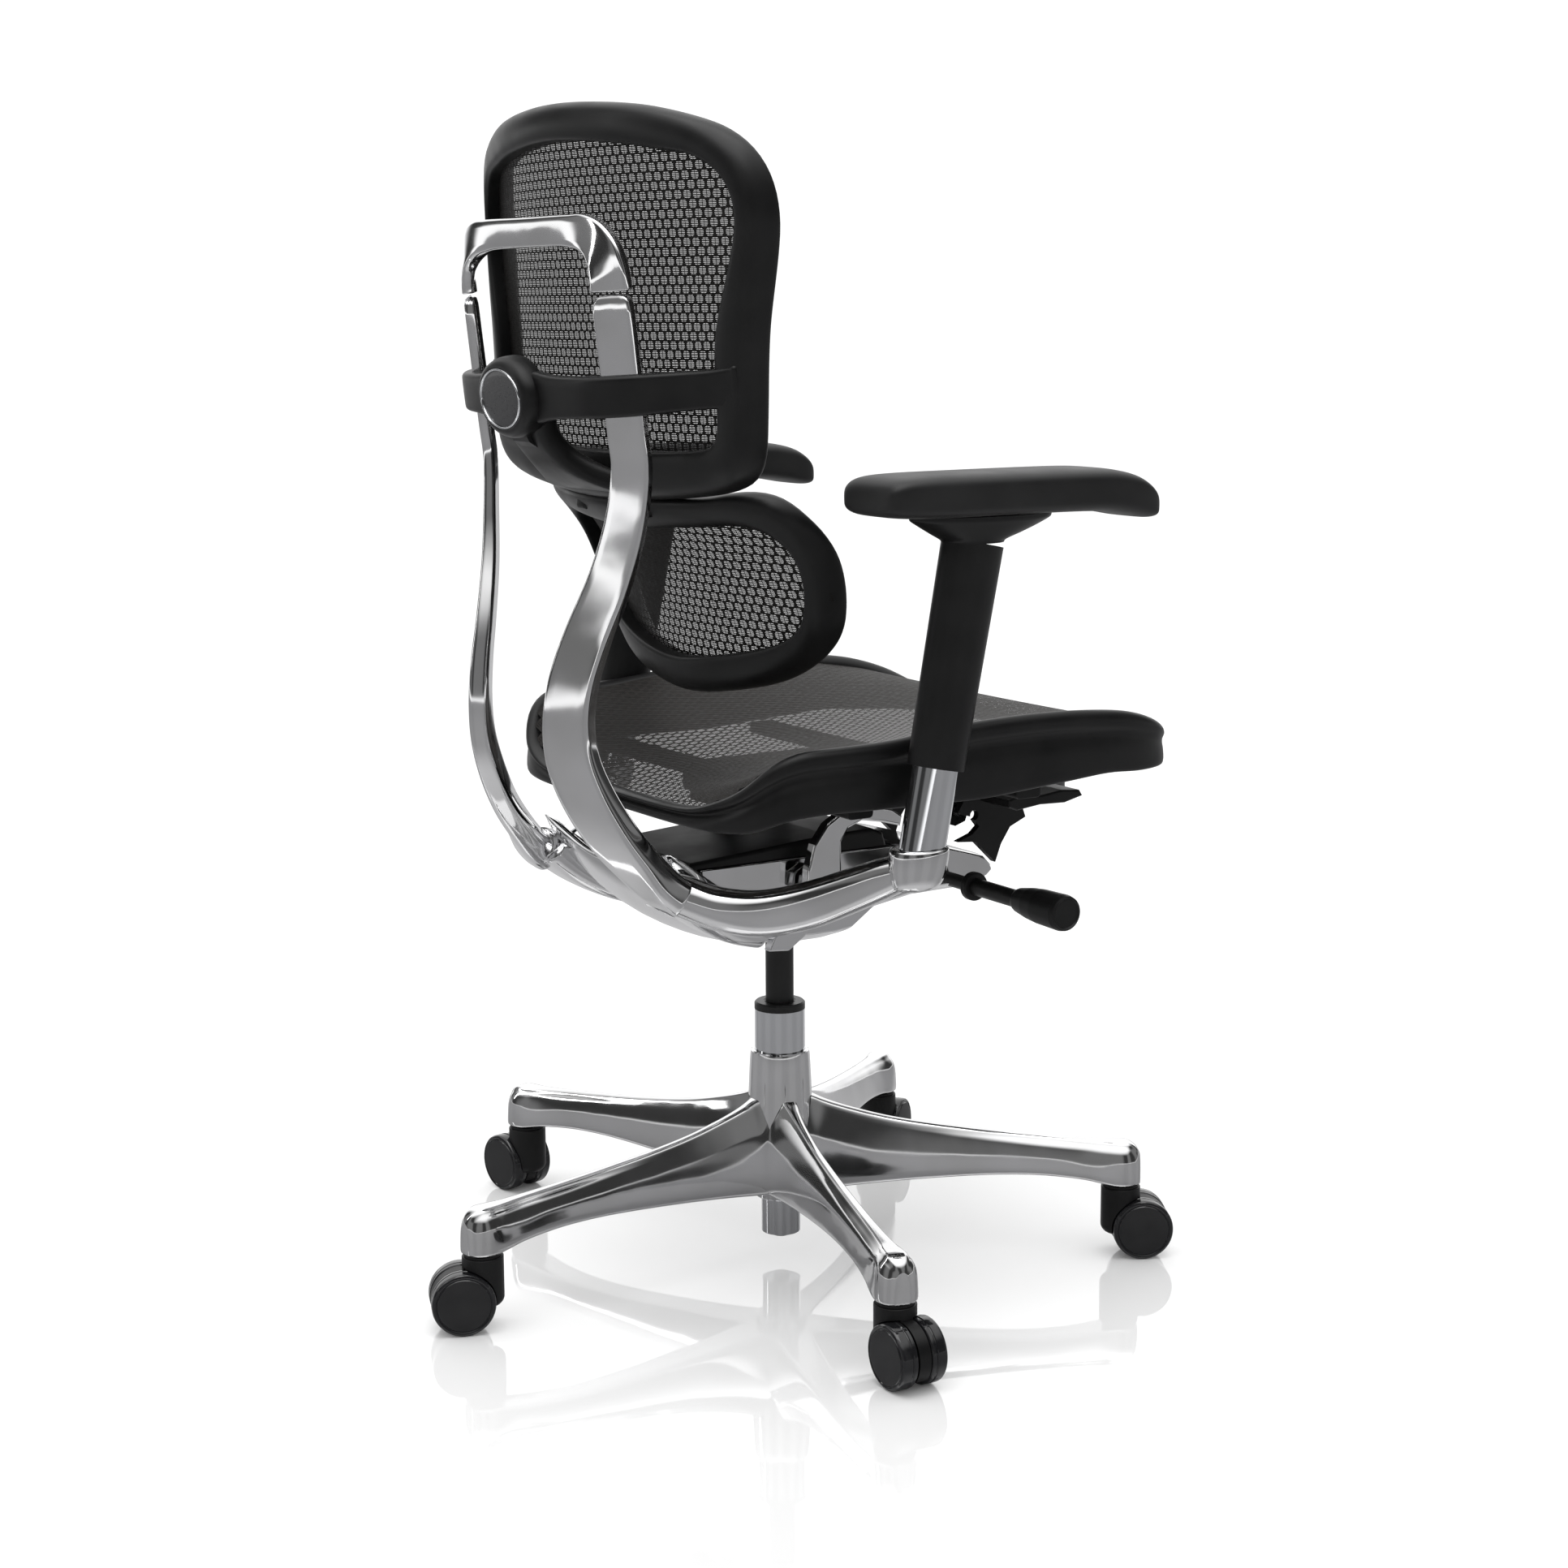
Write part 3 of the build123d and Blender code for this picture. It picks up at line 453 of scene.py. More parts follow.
# ---- base ---------------------------------------------------------------
# radius from the column, underside, ridge height, foot width, shoulder width, ridge width
ARM_STATIONS = [ (10, 72, 170, 52, 46, 22), (28, 72, 168, 47, 42, 17), (45, 73, 161, 42, 35, 13),
                (70, 75.5, 153, 38, 29, 11), (110, 79, 143, 34, 25, 10.5), (160, 82.5, 135, 31, 23.5, 11),
                (210, 85, 129, 30, 23.5, 11.5), (250, 85, 125, 30.5, 24.5, 12),
                (280, 83, 122.2, 32, 26, 13), (305, 80, 120, 35, 28, 15), (322, 76.5, 118.6, 38.5, 32, 18),
                (334, 74.2, 118.2, 40.4, 36, 21), (345, 73.7, 117.6, 40.4, 37, 22),
                (352, 73.7, 115.0, 35.5, 31.5, 18), (357, 73.7, 110.5, 27.5, 24, 13),
                (360.3, 73.9, 104, 15.5, 13, 7)]


def arm_ring(row, yaw):
    r, zb, zt, foot, shoulder, ridge = row
    high = zt - zb
    half = [(foot / 2 - 5, zb), (foot / 2 - 1.4, zb + 0.4), (foot / 2, zb + 2.4),
            (foot / 2 - 0.3, zb + 0.22 * high),
            ((foot + shoulder) / 4, zb + 0.48 * high), (shoulder / 2, zb + 0.66 * high),
            ((shoulder + ridge) / 4, zb + 0.83 * high), (ridge / 2 + 0.6, zt - 5.0 * min(1, high / 40)),
            (ridge / 2 - 0.8, zt - 1.6), (ridge / 2 - 3.2, zt - 0.15)]
    outline = half + [(-y, z) for y, z in reversed(half)]
    c, s = math.cos(yaw), math.sin(yaw)
    return [Vector((r * c - y * s, r * s + y * c, z)) * MM for y, z in outline]


HUB_PROFILE = [(24.6, 62.2), (26, 63.4), (26.2, 76), (33, 80), (34.3, 100), (33.6, 130), (32.2, 155),
               (31.2, 180), (30.3, 200), (29.6, 209), (29.0, 212.4), (27.8, 213.5), (25.2, 213.5),
               (25.1, 208), (25.1, 120), (19.4, 100), (19.4, 62.2)]


def make_base():
    hub = revolve(HUB_PROFILE, Vector((0, 0, 0)), Vector((0, 0, 1)), 96)
    build("base_hub", hub, "base", [POLISHED], sharp=35)
    arms = []
    for k in range(5):
        yaw = math.radians(BASE_YAW + 72 * k)
        rings = [arm_ring(row, yaw) for row in curve_rows(ARM_STATIONS, 4)]
        arms.append(loft(rings))
    build("base_arms", merge(*arms), "base", [POLISHED], ("star_base",), levels=1)


# ---- uprights and bridge ------------------------------------------------
LEAN = Vector((0, UPRIGHT_SLOPE, 1)).normalized()
REARWARD = Vector((0, 1, -UPRIGHT_SLOPE)).normalized()


def straight(z):
    return -237.0 - (z - 815.0) * UPRIGHT_SLOPE


# side, forward, up, width, thickness, corner radius, turn of the width from crosswise (degrees)
UPRIGHT_ROWS = [ (138, -188, 411, 44, 37, 14, 8), (131, -203, 422, 45, 33, 12, 14),
                (122, -219, 440, 47, 28, 10, 22), (110, -242, 470, 50, 24, 7.5, 28),
                (99, -261, 505, 51, 22, 6.5, 31), (92, -273, 540, 50, 20, 5.5, 32),
                (90, -276, 575, 48, 19, 5, 32), (93, -272, 612, 46, 18, 4.5, 32),
                (102, -262, 652, 44, 16, 4, 32), (119, -248, 702, 41, 14, 3.6, 32),
                (133, -239, 752, 39, 12, 3.2, 32), (139.5, straight(800), 800, 38, 11, 3, 32),
                (140, straight(840), 840, 38, 11, 3, 32), (140, straight(954), 953.6, 38, 11, 3, 32)]


def upright_rows():
    out = []
    for s, f, z, w, t, r, turn in UPRIGHT_ROWS:
        a = math.radians(turn)
        out.append((s, f, z, w, t, r, -math.cos(a), -math.sin(a), 0.0))
    return out


# side, rise above the blade's end, turn of the section about the bar (degrees), width, thickness
HOOP_ROWS = [(140, 0.4, 32, 38.6, 11.6), (140, 8, 31, 38.4, 12), (139, 18, 28, 38, 12.5),
             (134, 32, 22, 37, 13), (122, 44, 14, 35, 14), (104, 51, 7, 32, 15), (84, 53, 2, 29, 15),
             (60, 54, 0, 27.5, 15), (0, 54, 0, 27, 15)]


def bridge_rows():
    """Right half of the bar over the top, then its mirror image."""
    foot = straight(954)
    right = []
    last = len(HOOP_ROWS) - 1
    for i, (side, rise, turn, wide, thick) in enumerate(HOOP_ROWS):
        before, after = HOOP_ROWS[max(i - 1, 0)], HOOP_ROWS[min(i + 1, last)]
        along = Vector((after[0] - before[0], after[1] - before[1])).normalized()
        out = Vector((-1, 0, 0)) * along.y - LEAN * along.x
        b = math.radians(turn)
        across = out * math.cos(b) - REARWARD * math.sin(b)
        right.append((side, foot - LEAN.y * rise, 954 + LEAN.z * rise, wide, thick, 4, *across))
    left = [(-s, f, z, w, t, r, -x, y, zz) for s, f, z, w, t, r, x, y, zz in reversed(right[:-1])]
    return right + left


def make_uprights():
    part = sweep(upright_rows(), per=5)
    for side, shape in (("right", part), ("left", flip(part))):
        build("frame_blade_" + side, shape, "recline_frame", [POLISHED],
              ("upright_" + side,), levels=1)
    bar = sweep(bridge_rows(), per=4)
    build("frame_hoop", bar, "recline_frame", [POLISHED], ("top_bridge",), levels=1)


# ---- housing under the seat ---------------------------------------------
HOUSING_SIDE = [(-138, 424), (-138, 405), (-100, 389), (-52, 379), (-37, 353), (-30, 328), (-12, 326.6),
                (14, 326.6), (34, 329), (62, 348), (120, 357), (186, 358), (198, 363), (204, 376),
                (202, 391), (193, 401), (150, 413.5), (80, 424)]
HOUSING_HALF = 80.0
HOUSING_MID_FWD, HOUSING_MID_UP = 33, 390
HOUSING_KEEL = 19.0


def make_housing():
    rings = []
    for k in range(-12, 13):
        share = abs(k) / 12
        keel = HOUSING_KEEL * share ** 2
        tuck = 1.0 - 0.02 * share ** 12
        ring = []
        for f, z in HOUSING_SIDE:
            low = max(0.0, min(1.0, (392 - z) / 30))
            up = HOUSING_MID_UP + (z + keel * low - HOUSING_MID_UP) * tuck
            ring.append(point(HOUSING_HALF * k / 12, HOUSING_MID_FWD + (f - HOUSING_MID_FWD) * tuck, up))
        rings.append(ring)
    build("mechanism_shell", loft(rings), "chassis", [POLISHED], ("mechanism_housing",),
          sharp=30, bevel=1.5)


# ---- yoke under the seat ------------------------------------------------
# side, forward, up, height, thickness, corner radius of the right arm, from the blade's foot to the arm post
YOKE_ROWS = [(124, -198, 420, 38, 38, 16), (138, -186, 415, 38, 40, 17), (158, -163, 405, 40, 38, 17),
             (184, -134, 402, 43, 35, 15), (213, -102, 411, 43, 31, 14), (243, -74, 427, 40, 30, 14),
             (268, -53, 441, 36, 32, 14), (284, -40, 449, 30, 34, 13)]
# height, half width, half length and forward place of the socket round an arm post
SOCKET_ROWS = [(430, 14, 19, -38), (436, 19.4, 24.4, -36), (444, 21.8, 26.8, -35), (454, 23.2, 28.2, -34),
               (464, 23.6, 28.6, -33), (467.6, 23.2, 28.2, -32.6), (469, 21.6, 26.6, -32.4),
               (469, 17.2, 22.7, -32.3)]
# the strut from the arm down and forward to the belly
STRUT_ROWS = [(128, -188, 417, 60, 32, 13), (122, -166, 396, 58, 28, 12), (114, -134, 376, 52, 24, 10),
              (106, -100, 363, 44, 20, 9)]
BELLY_OUTER = [(-64, 334), (-86, 338), (-112, 347), (-144, 363), (-172, 384), (-189, 406), (-196, 426)]
BELLY_INNER = [(-196, 430), (-182, 428), (-174, 404), (-152, 383), (-112, 364), (-84, 355), (-64, 351)]
BELLY_HALF = 132.0
BELLY_RISE = 34.0


def make_yoke():
    arm = sweep([(*row, 0, 0, 1) for row in YOKE_ROWS], per=5, ends=(8, 4))
    rings = []
    for z, across, along, f in SOCKET_ROWS:
        turns = [2 * math.pi * k / 64 for k in range(64)]
        rings.append([point(ARM_X + across * math.cos(t), f + along * math.sin(t), z) for t in turns])
    strut = sweep([(*row, 1, 0, 0) for row in STRUT_ROWS], per=4, ends=(0, 6))
    right = merge(arm, loft(rings), strut)
    belly = []
    for k in range(-10, 11):
        side = BELLY_HALF * k / 10
        rise = BELLY_RISE * (side / BELLY_HALF) ** 2
        thin = 1.0 - 0.25 * abs(k / 10) ** 6
        ring = [(f, z + rise) for f, z in BELLY_OUTER]
        ring += [(f, z * thin + (1 - thin) * 380 + rise) for f, z in BELLY_INNER]
        belly.append([point(side, f, z) for f, z in ring])
    build("yoke_arms", merge(right, flip(right)), "recline_frame", [POLISHED],
          ("back_yoke",), levels=1)
    build("yoke_belly", loft(belly), "recline_frame", [POLISHED], levels=1)
    lug = prism([(-70, 340), (-64, 352), (-34, 384), (-30, 408), (-16, 416), (0, 408), (2, 394), (-14, 372),
                 (-30, 350), (-48, 338)], 84, 95)
    build("yoke_lugs", merge(lug, flip(lug)), "recline_frame", [POLISHED], bevel=1.5)


# ---- arms ---------------------------------------------------------------
PAD_ROWS = [(-88.6, 771, 783, 58), (-87, 767.5, 788, 72), (-82, 764, 793.5, 82), (-70, 762, 797.4, 88.5),
            (-40, 760.6, 798.8, 91.5), (20, 760.3, 799, 92), (90, 760.3, 799, 92), (140, 759.6, 798.6, 92),
            (160, 757.6, 796.8, 91.5), (180, 754.4, 792.6, 90), (193, 752, 786, 87), (201, 751.6, 779, 82),
            (205.2, 753, 771.5, 73), (206.5, 757, 765.5, 60)]
PAD_BACK = 1.5
BRACKET_ROWS = [(736.4, 23, 30, 23.0), (739, 23.6, 32, 23.7), (744, 26, 45, 27), (749, 28.6, 57, 29.6),
                (753.6, 31, 67, 31.4), (757, 32.8, 73, 32), (760.6, 33, 74, 32)]


def make_arms():
    pad_rings = []
    for f, low, high, w in curve_rows(PAD_ROWS, 2):
        outline = superellipse(w, high - low, 4.2, 40)
        pad_rings.append([point(ARM_X + u, f - PAD_BACK, (low + high) / 2 + v) for u, v in outline])
    pad = loft(pad_rings)
    bracket_rings = []
    for z, across, along, f in curve_rows(BRACKET_ROWS, 3):
        turns = [2 * math.pi * k / 64 for k in range(64)]
        bracket_rings.append([point(ARM_X + across * math.cos(t), f + along * math.sin(t), z) for t in turns])
    boss = revolve([(8.8, 757), (8.8, 771)], point(ARM_X, 32, 0), Vector((0, 0, 1)), 32)
    bracket = merge(loft(bracket_rings), boss)
    for side, flipped in (("right", False), ("left", True)):
        shape = flip(pad) if flipped else pad
        top = build("armrest_top_" + side, shape, "pad_" + side, [PAD], ("arm_pad_" + side,),
                    levels=1)
        shape = flip(bracket) if flipped else bracket
        build("armrest_flare_" + side, shape, "arm_" + side, [PLASTIC],
              ("arm_bracket_" + side,))


# ---- rims with a window: back and lumbar --------------------------------
BACK_D0 = [(740, -196), (760, -199), (815, -205), (865, -212), (950, -222), (1010, -230), (1080, -241),
           (1125, -249), (1140, -251)]
BACK_EDGE = [(740, -175), (760, -179), (815, -185), (865, -186), (950, -187), (1010, -188), (1080, -193),
             (1125, -200), (1140, -202)]
BACK_HALF = [(0, 1121), (60, 1119), (125, 1113), (180, 1101), (212, 1089), (234, 1070), (246, 1047),
             (251, 1019), (250, 993), (246, 960), (241, 926), (239, 892), (237, 845), (233, 810),
             (217, 790), (170, 778), (60, 768), (0, 766)]
WINDOW_HALF = [(0, 1087), (100, 1081), (148, 1074), (193, 1067), (219, 1052), (231, 1034), (234, 1013),
               (229, 987), (218, 953), (209, 926), (205, 899), (206, 858), (204, 829), (185, 820),
               (103, 815), (0, 813)]
LUMBAR_D0 = [(560, -108), (575, -111), (630, -123), (680, -139), (720, -156), (745, -174), (764, -190),
             (780, -196)]
LUMBAR_HALF = [(0, 772), (90, 773), (140, 776), (170, 781), (194, 778), (208, 764), (211, 740), (207, 708),
               (200, 678), (188, 648), (165, 623), (130, 603), (80, 590), (0, 580)]
LUMBAR_WINDOW = [(0, 740), (105, 745), (152, 749), (180, 744), (193, 730), (195, 706), (189, 679), (176, 656),
                 (150, 641), (112, 631), (55, 621), (0, 616)]


def back_depth(side, up):
    mid = smooth_table(BACK_D0, up)
    return mid + (smooth_table(BACK_EDGE, up) - mid) * (side / 235.0) ** 2


def lumbar_depth(side, up):
    return smooth_table(LUMBAR_D0, up) + 0.0013 * side * side


# share of the way from the window out to the edge, and depth in front of the rear face
BACK_SECTION = [(0.0, 6), (0.03, 2.4), (0.12, 0.5), (0.3, 0.0), (0.5, 0.5), (0.7, 2.3), (0.86, 6.0),
                (0.96, 11.5), (1.0, 18), (1.0, 25), (0.97, 30.5), (0.9, 33.5), (0.78, 34.2), (0.4, 33),
                (0.12, 29), (0.02, 24), (0.0, 18)]
LUMBAR_SECTION = [(0.0, 8), (0.03, 3.5), (0.12, 0.8), (0.3, 0.0), (0.6, 0.6), (0.82, 3.2), (0.94, 8.5),
                  (1.0, 17), (1.0, 25), (0.96, 32), (0.86, 37), (0.7, 39.5), (0.4, 39), (0.15, 34),
                  (0.03, 27), (0.0, 21)]


def window_rim(outer, inner, section, depth, count):
    """Closed ring of a rim whose section runs from its window edge to its outer edge."""
    rim = even_outline(outer, count)
    hole = even_outline(inner, count)
    rings = []
    for (os, oz), (hs, hz) in zip(rim, hole):
        ring = []
        for share, front in section:
            s, z = hs + (os - hs) * share, hz + (oz - hz) * share
            ring.append(point(s, depth(s, z) + front, z))
        rings.append(ring)
    return loft(rings, closed=True)


YARN = 0.07           # thread between a group's two columns, as a share of the pitch
HOLE_STRETCH = 0.62   # how much of a thread's width between stacked holes is given to the holes


def fabric(place, outline, origin, size, pitch, rows, holes, cover):
    """Open weave of oval groups of small holes over a surface.

    place maps two lengths to a point, pitch is the (across, along) size of one group, holes is
    how many holes are stacked in each of a group's two columns, cover is the group's share of
    its pitch, and rows are (first, last) row numbers.
    """
    pa, pb = pitch
    verts, faces = [], []
    lines = 2 * holes + 1
    mid = YARN / 2
    for j in range(*rows):
        b0 = origin[1] + j * pb
        for i in range(-size, size + 1):
            a0 = origin[0] + (i + 0.5 * (j % 2)) * pa - pa / 2
            if not inside(outline, a0 + pa / 2, b0 + pb / 2):
                continue
            start = len(verts)
            for line in range(lines + 1):
                v = line / lines
                reach = cover * 0.5 * max(0.12, math.sqrt(max(0.0, 1 - (2.04 * abs(v - 0.5)) ** 2.6)))
                cols = (0.0, 0.5 - reach, 0.5 - mid, 0.5 + mid, 0.5 + reach, 1.0)
                shift = HOLE_STRETCH / lines * (0.5 if line % 2 else -0.5)
                row = b0 + (v + (shift if 0 < line < lines else 0.0)) * pb
                for u in cols:
                    verts.append(place(a0 + u * pa, row))
            for line in range(lines):
                for col in range(5):
                    if line % 2 == 1 and col in (1, 3):
                        continue
                    k = start + line * 6 + col
                    faces.append((k, k + 1, k + 7, k + 6))
    return verts, faces


def grow(half, by):
    """A window outline moved outward, so that the cloth's edge is inside the rim."""
    outline = even_outline(half, 60)
    return [(p[0] - by * n[0], p[1] - by * n[1]) for p, n in zip(outline, inward(outline))]


CELL = (11.0, 8.0)
BACK_CLOTH_DEPTH = 15.8
LUMBAR_CLOTH_DEPTH = 18.8
# how far the cloth reaches under each rim, and the part of each group's pitch that holes take
BACK_TUCK = 7
LUMBAR_TUCK = 8
SEAT_TUCK = 11
BACK_COVER = 0.74
SEAT_COVER = 0.60


def hang(name, part, body, mat, node):
    obj = build(name, part, body, [mat], (node,), sharp=180)
    return obj


def make_back():
    rim = window_rim(BACK_HALF, WINDOW_HALF, BACK_SECTION, back_depth, 44)
    lugs = []
    for side in (-73, 73):
        ring = [(5, -6), (6.4, -5), (6.4, 5), (5, 6)]
        lugs.append(revolve(ring, point(side, -174, 781), Vector((1, 0, 0)), 24))
    build("back_rim", merge(rim, *lugs), "back", [PLASTIC], ("back_frame",), levels=1)
    outline = grow(WINDOW_HALF, BACK_TUCK)
    cloth = fabric(lambda s, z: point(s, back_depth(s, z) + BACK_CLOTH_DEPTH, z), outline, (0, 800), 23, CELL,
                   (-1, 38), 5, BACK_COVER)
    hang("back_weave", cloth, "back", WEAVE, "back_mesh")


def make_lumbar():
    rim = window_rim(LUMBAR_HALF, LUMBAR_WINDOW, LUMBAR_SECTION, lumbar_depth, 40)
    lugs = []
    for side in (-60, 60):
        rows = [(side, -176, 752, 20, 14, 4, 1, 0, 0), (side, -173, 770, 20, 14, 4, 1, 0, 0),
                (side, -172, 786, 20, 13, 5, 1, 0, 0)]
        lugs.append(sweep(rows, per=2))
    build("lumbar_rim", merge(rim, *lugs), "lumbar", [PLASTIC], ("lumbar_frame",), levels=1)
    outline = grow(LUMBAR_WINDOW, LUMBAR_TUCK)
    cloth = fabric(lambda s, z: point(s, lumbar_depth(s, z) + LUMBAR_CLOTH_DEPTH, z), outline, (0, 602), 19,
                   CELL, (-1, 21), 5, BACK_COVER)
    hang("lumbar_weave", cloth, "lumbar", WEAVE, "lumbar_mesh")


# ---- carrier across the back --------------------------------------------
CARRIER_Z = 866.0
# side, rearward offset from the uprights' plane, thickness, height
BAND_ROWS = [(228, -62, 9, 40), (222, -60, 10, 37), (207, -52, 12, 34), (188, -38, 15, 34),
             (170, -22, 20, 35), (152, -7, 27, 36), (134, 5, 30, 36), (116, 15, 27, 36),
             (96, 22.5, 20, 36.5), (76, 27, 16, 38), (58, 29, 15, 41), (40, 30, 15, 46), (0, 30, 15, 50)]


def carrier_point(side, rear, rise):
    origin = point(0, -237.0 - (CARRIER_Z - 815.0) * UPRIGHT_SLOPE, CARRIER_Z)
    return origin + (Vector((-side, 0, 0)) + REARWARD * rear + LEAN * rise) * MM


def make_carrier():
    rows = []
    for s, rear, t, h in BAND_ROWS + [(-s, r, t, h) for s, r, t, h in reversed(BAND_ROWS[:-1])]:
        p = carrier_point(s, rear, 0) / MM
        rows.append((-p.x, -p.y, p.z, h, t, 5, *LEAN))
    band = sweep(rows, per=4, ends=(3, 3))
    oval = [(50, 22), (50.3, 30), (50, 38), (49.2, 43), (47.4, 47), (44.4, 49.6), (41.6, 50.4), (40.2, 50.0),
            (39.6, 49.0), (39.4, 46.0)]
    rings = []
    for r, h in oval:
        w, t = r, r - 13 + 0.1 * (h > 48)
        rings.append([carrier_point(w * math.cos(a), h, t * math.sin(a))
                      for a in (2 * math.pi * k / 72 for k in range(72))])
    boss = loft(rings)
    web_rows = [(0, -270, 862, 84, 24, 8, 1, 0, 0), (0, -264, 845, 74, 25, 9, 1, 0, 0),
                (0, -257, 828, 64, 24, 9, 1, 0, 0), (0, -244, 812, 66, 23, 9, 1, 0, 0),
                (0, -229, 799, 86, 22, 9, 1, 0, 0), (0, -213, 789, 122, 20, 8, 1, 0, 0),
                (0, -200, 783, 152, 17, 7, 1, 0, 0)]
    web = sweep(web_rows, per=4)
    build("carrier_band", merge(band, web), "back", [PLASTIC], ("back_carrier",), levels=1)
    build("carrier_boss", boss, "back", [PLASTIC], levels=1)
    ring_rows = [(39.2, 47.5), (39.2, 50.2), (38.6, 51.1), (37.9, 51.1), (37.3, 50.2), (37.3, 48.0)]
    rings = [[carrier_point(r * math.cos(a), h, (r - 12) * math.sin(a))
              for a in (2 * math.pi * k / 96 for k in range(96))] for r, h in ring_rows]
    build("badge_ring", loft(rings, caps=False), "back", [CHROME], sharp=60)
    field_rows = [(37.4, 48.4), (37.2, 49.3), (34, 49.6), (24, 49.9), (12, 50.1)]
    rings = [[carrier_point(r * math.cos(a), h, (r * (25.3 / 37.4)) * math.sin(a))
              for a in (2 * math.pi * k / 96 for k in range(96))] for r, h in field_rows]
    build("badge_field", loft(rings), "back", [BADGE], ("badge_cap",), sharp=60)


# ---- seat ---------------------------------------------------------------
SEAT_HALF = [(0, -188), (120, -187), (175, -182), (212, -169), (238, -148), (251, -110), (256, -50),
             (257, 30), (257, 120), (254, 200), (246, 260), (225, 300), (182, 318), (92, 328), (0, 331)]
SEAT_TOP = [(-200, 488), (-188, 495), (-182, 507), (-170, 523), (-157, 542), (-134, 555), (-90, 558),
            (-38, 560), (50, 569), (142, 571), (220, 566), (260, 558), (295, 545), (315, 530), (330, 515)]
SEAT_LOW = [(-200, 476), (-170, 481), (-140, 496), (-100, 499), (60, 497), (212, 507), (250, 504), (300, 503),
            (330, 504)]
SEAT_MID = [(-190, 487), (-175, 489), (-120, 503), (-60, 517), (0, 527), (100, 542), (200, 551), (255, 548),
            (285, 539), (305, 527), (318, 516), (332, 503)]
SEAT_RIM = [(-190, 500), (-175, 516), (-150, 546), (-120, 552), (-60, 554), (50, 564), (142, 566), (245, 553),
            (285, 540), (305, 527), (318, 516), (332, 503)]


def seat_height(side, fwd):
    k = min(abs(side) / 236.0, 1.1) ** 2
    return smooth_table(SEAT_MID, fwd) * (1 - k) + smooth_table(SEAT_RIM, fwd) * k - 1.0


# inset from the outline, height below the top (or above the underside when low is true)
SEAT_SECTION = [(14, 0.5, True), (5, 0.0, True), (1.6, 1.2, True), (0.6, 5.0, True), (1.2, 0.62, None),
                (3.6, 0.50, None), (6.4, 0.40, None), (5.2, 0.32, None), (1.6, 0.27, None), (0.2, 0.19, None),
                (0.8, 0.10, None), (3.4, 0.03, None), (8, -0.01, None), (13, 0.02, None), (17.5, 0.08, None),
                (20, 0.16, None), (20.5, 0.35, None), (20, 4.0, True)]


def make_seat():
    outline = even_outline(SEAT_HALF, 56)
    rings = []
    for (s, f), (ns, nf) in zip(outline, inward(outline)):
        top, low = smooth_table(SEAT_TOP, f), lerp_table(SEAT_LOW, f)
        high = top - low
        bead = min(high, 62.0)
        fade = 1.0 - 0.75 * min(1.0, max(0.0, (f - 150) / 140))
        ring = []
        for by, v, from_low in SEAT_SECTION:
            z = low + min(v, 0.3 * high) if from_low else top - v * bead
            if 3.0 < by < 7.0 and not from_low and v > 0.25:
                by = 1.5 + (by - 1.5) * fade
            ring.append(point(s + by * ns, f + by * nf, z))
        rings.append(ring)
    rim = loft(rings, closed=True)
    bars = []
    for lo, hi in ((-75, -48), (112, 140)):
        rows = [(s, (lo + hi) / 2, 496, hi - lo, 13, 4, 0, 1, 0) for s in (-238, 0, 238)]
        bars.append(sweep(rows, per=1))
    for s in (-49, 49):
        rows = [(s, f, 488.5, 22, 28, 4, 1, 0, 0) for f in (-74, 30, 139)]
        bars.append(sweep(rows, per=1))
    build("seat_rim", rim, "seat", [PLASTIC], ("seat_frame",), levels=1)
    build("seat_crossbars", merge(*bars), "seat", [PLASTIC], bevel=1.0)
    edge = [(p[0] + SEAT_TUCK * n[0], p[1] + SEAT_TUCK * n[1]) for p, n in zip(outline, inward(outline))]
    cloth = fabric(lambda s, f: point(s, f, seat_height(s, f)), edge, (0, -184), 24, CELL, (0, 64), 4,
                   SEAT_COVER)
    hang("seat_weave", cloth, "seat", SEAT_WEAVE, "seat_mesh")


make_wheels()
make_base()
make_uprights()
make_housing()
make_yoke()
make_arms()
make_back()
make_lumbar()
make_carrier()
make_seat()

# ---- stage: floor, light, camera ----------------------------------------
CAMERA_AZIMUTH = 238.0
CAMERA_ELEVATION = 10.03
CAMERA_ROLL = 0.30
CAMERA_PLACE = (-2.2191, 1.3803, 0.9426)
CAMERA_LENS = 62.226
FLOOR_GLOSS = 0.24
FLOOR_REACH = 14.0
FLOOR_DROP = 0.0004
FLOOR_WHITE = (0.98, 0.98, 0.98, 1)
FLOOR_IN_METAL = (0.27, 0.27, 0.275, 1)


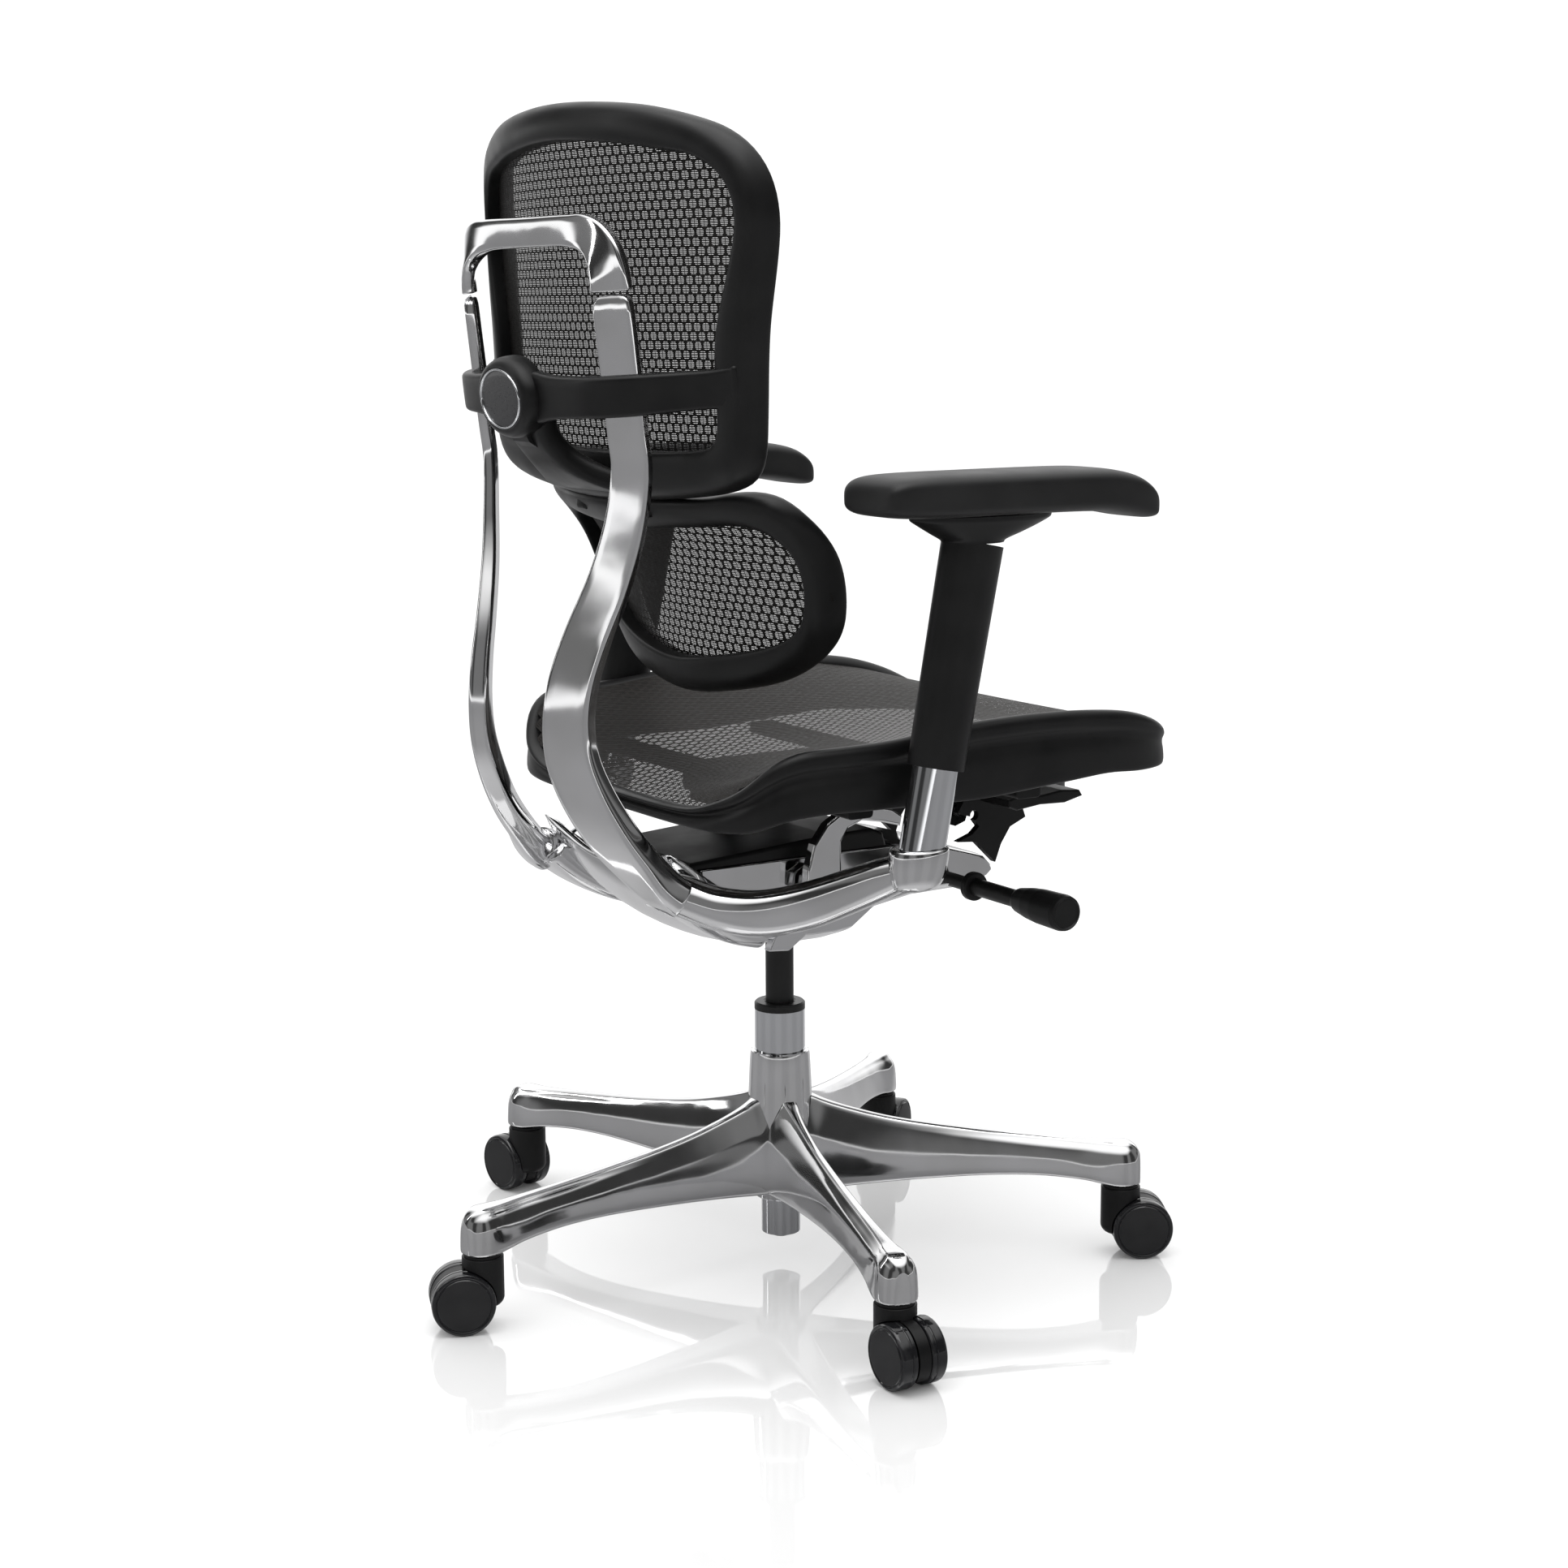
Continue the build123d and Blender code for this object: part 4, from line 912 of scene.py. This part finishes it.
def make_floor():
    """Pale floor with a soft mirror; polished parts see it darker than the eye does."""
    mesh = bpy.data.meshes.new("floor")
    turns = ((-1, -1), (1, -1), (1, 1), (-1, 1))
    corners = [(x * FLOOR_REACH, y * FLOOR_REACH, -FLOOR_DROP) for x, y in turns]
    mesh.from_pydata(corners, [], [(0, 1, 2, 3)])
    floor = bpy.data.objects.new("floor", mesh)
    SCENE.collection.objects.link(floor)
    mat = bpy.data.materials.new("floor_pale")
    mat.use_nodes = True
    tree = mat.node_tree
    tree.nodes.remove(tree.nodes["Principled BSDF"])
    white = tree.nodes.new("ShaderNodeBsdfDiffuse")
    mirror = tree.nodes.new("ShaderNodeBsdfGlossy")
    mirror.inputs["Roughness"].default_value = 0.03
    mirror.inputs["Color"].default_value = (1, 1, 1, 1)
    path = tree.nodes.new("ShaderNodeLightPath")
    shade = tree.nodes.new("ShaderNodeMix")
    shade.data_type = "RGBA"
    shade.inputs[6].default_value = FLOOR_WHITE
    shade.inputs[7].default_value = FLOOR_IN_METAL
    tree.links.new(path.outputs["Is Glossy Ray"], shade.inputs[0])
    tree.links.new(shade.outputs[2], white.inputs["Color"])
    mix = tree.nodes.new("ShaderNodeMixShader")
    mix.inputs[0].default_value = FLOOR_GLOSS
    tree.links.new(white.outputs[0], mix.inputs[1])
    tree.links.new(mirror.outputs[0], mix.inputs[2])
    tree.links.new(mix.outputs[0], tree.nodes["Material Output"].inputs["Surface"])
    mesh.materials.append(mat)


WHITE_ROOM = 1.2      # surroundings seen by polished parts, outside the dark band
ROOM_BRIGHT = 0.17    # lighter and darker stripes of the band
ROOM_DARK = 0.035
EYE_WHITE = 1.12      # surroundings seen by the camera and by diffuse light
BAND_FOOT = (-0.02, 0.03)
BAND_TOP = (0.50, 0.80)
OPEN_SIDE = math.radians(32.0)
OPEN_EDGE = (0.55, 0.85)
STRIPES = 7.0


def make_world():
    """White surroundings for the eye and for diffuse light; polished parts also see a dark band of room."""
    world = bpy.data.worlds.new("studio")
    SCENE.world = world
    world.use_nodes = True
    tree = world.node_tree
    nodes, links = tree.nodes, tree.links
    back = nodes["Background"]

    def math_node(kind, a, b=None):
        node = nodes.new("ShaderNodeMath")
        node.operation = kind
        for slot, value in ((0, a), (1, b)):
            if value is None:
                continue
            if isinstance(value, (int, float)):
                node.inputs[slot].default_value = value
            else:
                links.new(value, node.inputs[slot])
        return node.outputs[0]

    def span(value, lo, hi, out_lo, out_hi):
        node = nodes.new("ShaderNodeMapRange")
        node.interpolation_type = "SMOOTHSTEP"
        for slot, number in zip(("From Min", "From Max", "To Min", "To Max"), (lo, hi, out_lo, out_hi)):
            node.inputs[slot].default_value = number
        links.new(value, node.inputs["Value"])
        return node.outputs["Result"]

    where = nodes.new("ShaderNodeTexCoord")
    split = nodes.new("ShaderNodeSeparateXYZ")
    links.new(where.outputs["Generated"], split.inputs[0])
    turn = math_node("ARCTAN2", split.outputs["Y"], split.outputs["X"])
    height = split.outputs["Z"]
    band = math_node("MULTIPLY", span(height, *BAND_FOOT, 0, 1), span(height, *BAND_TOP, 1, 0))
    away = math_node("ABSOLUTE", math_node("ADD", turn, OPEN_SIDE))
    aside = math_node("MINIMUM", away, math_node("SUBTRACT", 2 * math.pi, away))
    room = span(aside, *OPEN_EDGE, 0.0, 1.0)
    stripes = span(math_node("SINE", math_node("MULTIPLY", turn, STRIPES)), -0.7, 0.7, ROOM_BRIGHT, ROOM_DARK)
    share = math_node("MULTIPLY", band, room)
    drop = math_node("MULTIPLY", share, math_node("SUBTRACT", WHITE_ROOM, stripes))
    level = math_node("SUBTRACT", WHITE_ROOM, drop)
    path = nodes.new("ShaderNodeLightPath")
    pick = nodes.new("ShaderNodeMix")
    pick.data_type = "FLOAT"
    links.new(path.outputs["Is Glossy Ray"], pick.inputs[0])
    pick.inputs[2].default_value = EYE_WHITE
    links.new(level, pick.inputs[3])
    links.new(pick.outputs[0], back.inputs["Strength"])
    back.inputs["Color"].default_value = (1.0, 1.0, 1.0, 1)


def make_light(name, place, size, energy, target=(0, 0, 0.55)):
    data = bpy.data.lights.new(name, "AREA")
    data.shape = "RECTANGLE"
    data.size, data.size_y = size
    data.energy = energy
    light = bpy.data.objects.new(name, data)
    light.location = place
    light.rotation_euler = (Vector(target) - Vector(place)).to_track_quat("-Z", "Y").to_euler()
    SCENE.collection.objects.link(light)


def make_camera():
    data = bpy.data.cameras.new("camera")
    data.lens = CAMERA_LENS
    data.sensor_width = 36.0
    data.clip_end = 100.0
    camera = bpy.data.objects.new("camera", data)
    a, e = math.radians(CAMERA_AZIMUTH), math.radians(CAMERA_ELEVATION)
    back = Vector((math.sin(a) * math.cos(e), -math.cos(a) * math.cos(e), math.sin(e)))
    turn = back.to_track_quat("Z", "Y").to_matrix() @ Matrix.Rotation(math.radians(-CAMERA_ROLL), 3, "Z")
    camera.rotation_euler = turn.to_euler()
    camera.location = CAMERA_PLACE
    SCENE.collection.objects.link(camera)
    SCENE.camera = camera


make_floor()
make_world()
make_light("overhead", (-0.4, 0.3, 3.2), (2.4, 2.4), 34)
make_light("edge_strip", (1.6, 2.4, 1.9), (0.25, 2.0), 6)
make_camera()
SCENE.view_settings.view_transform = "Standard"
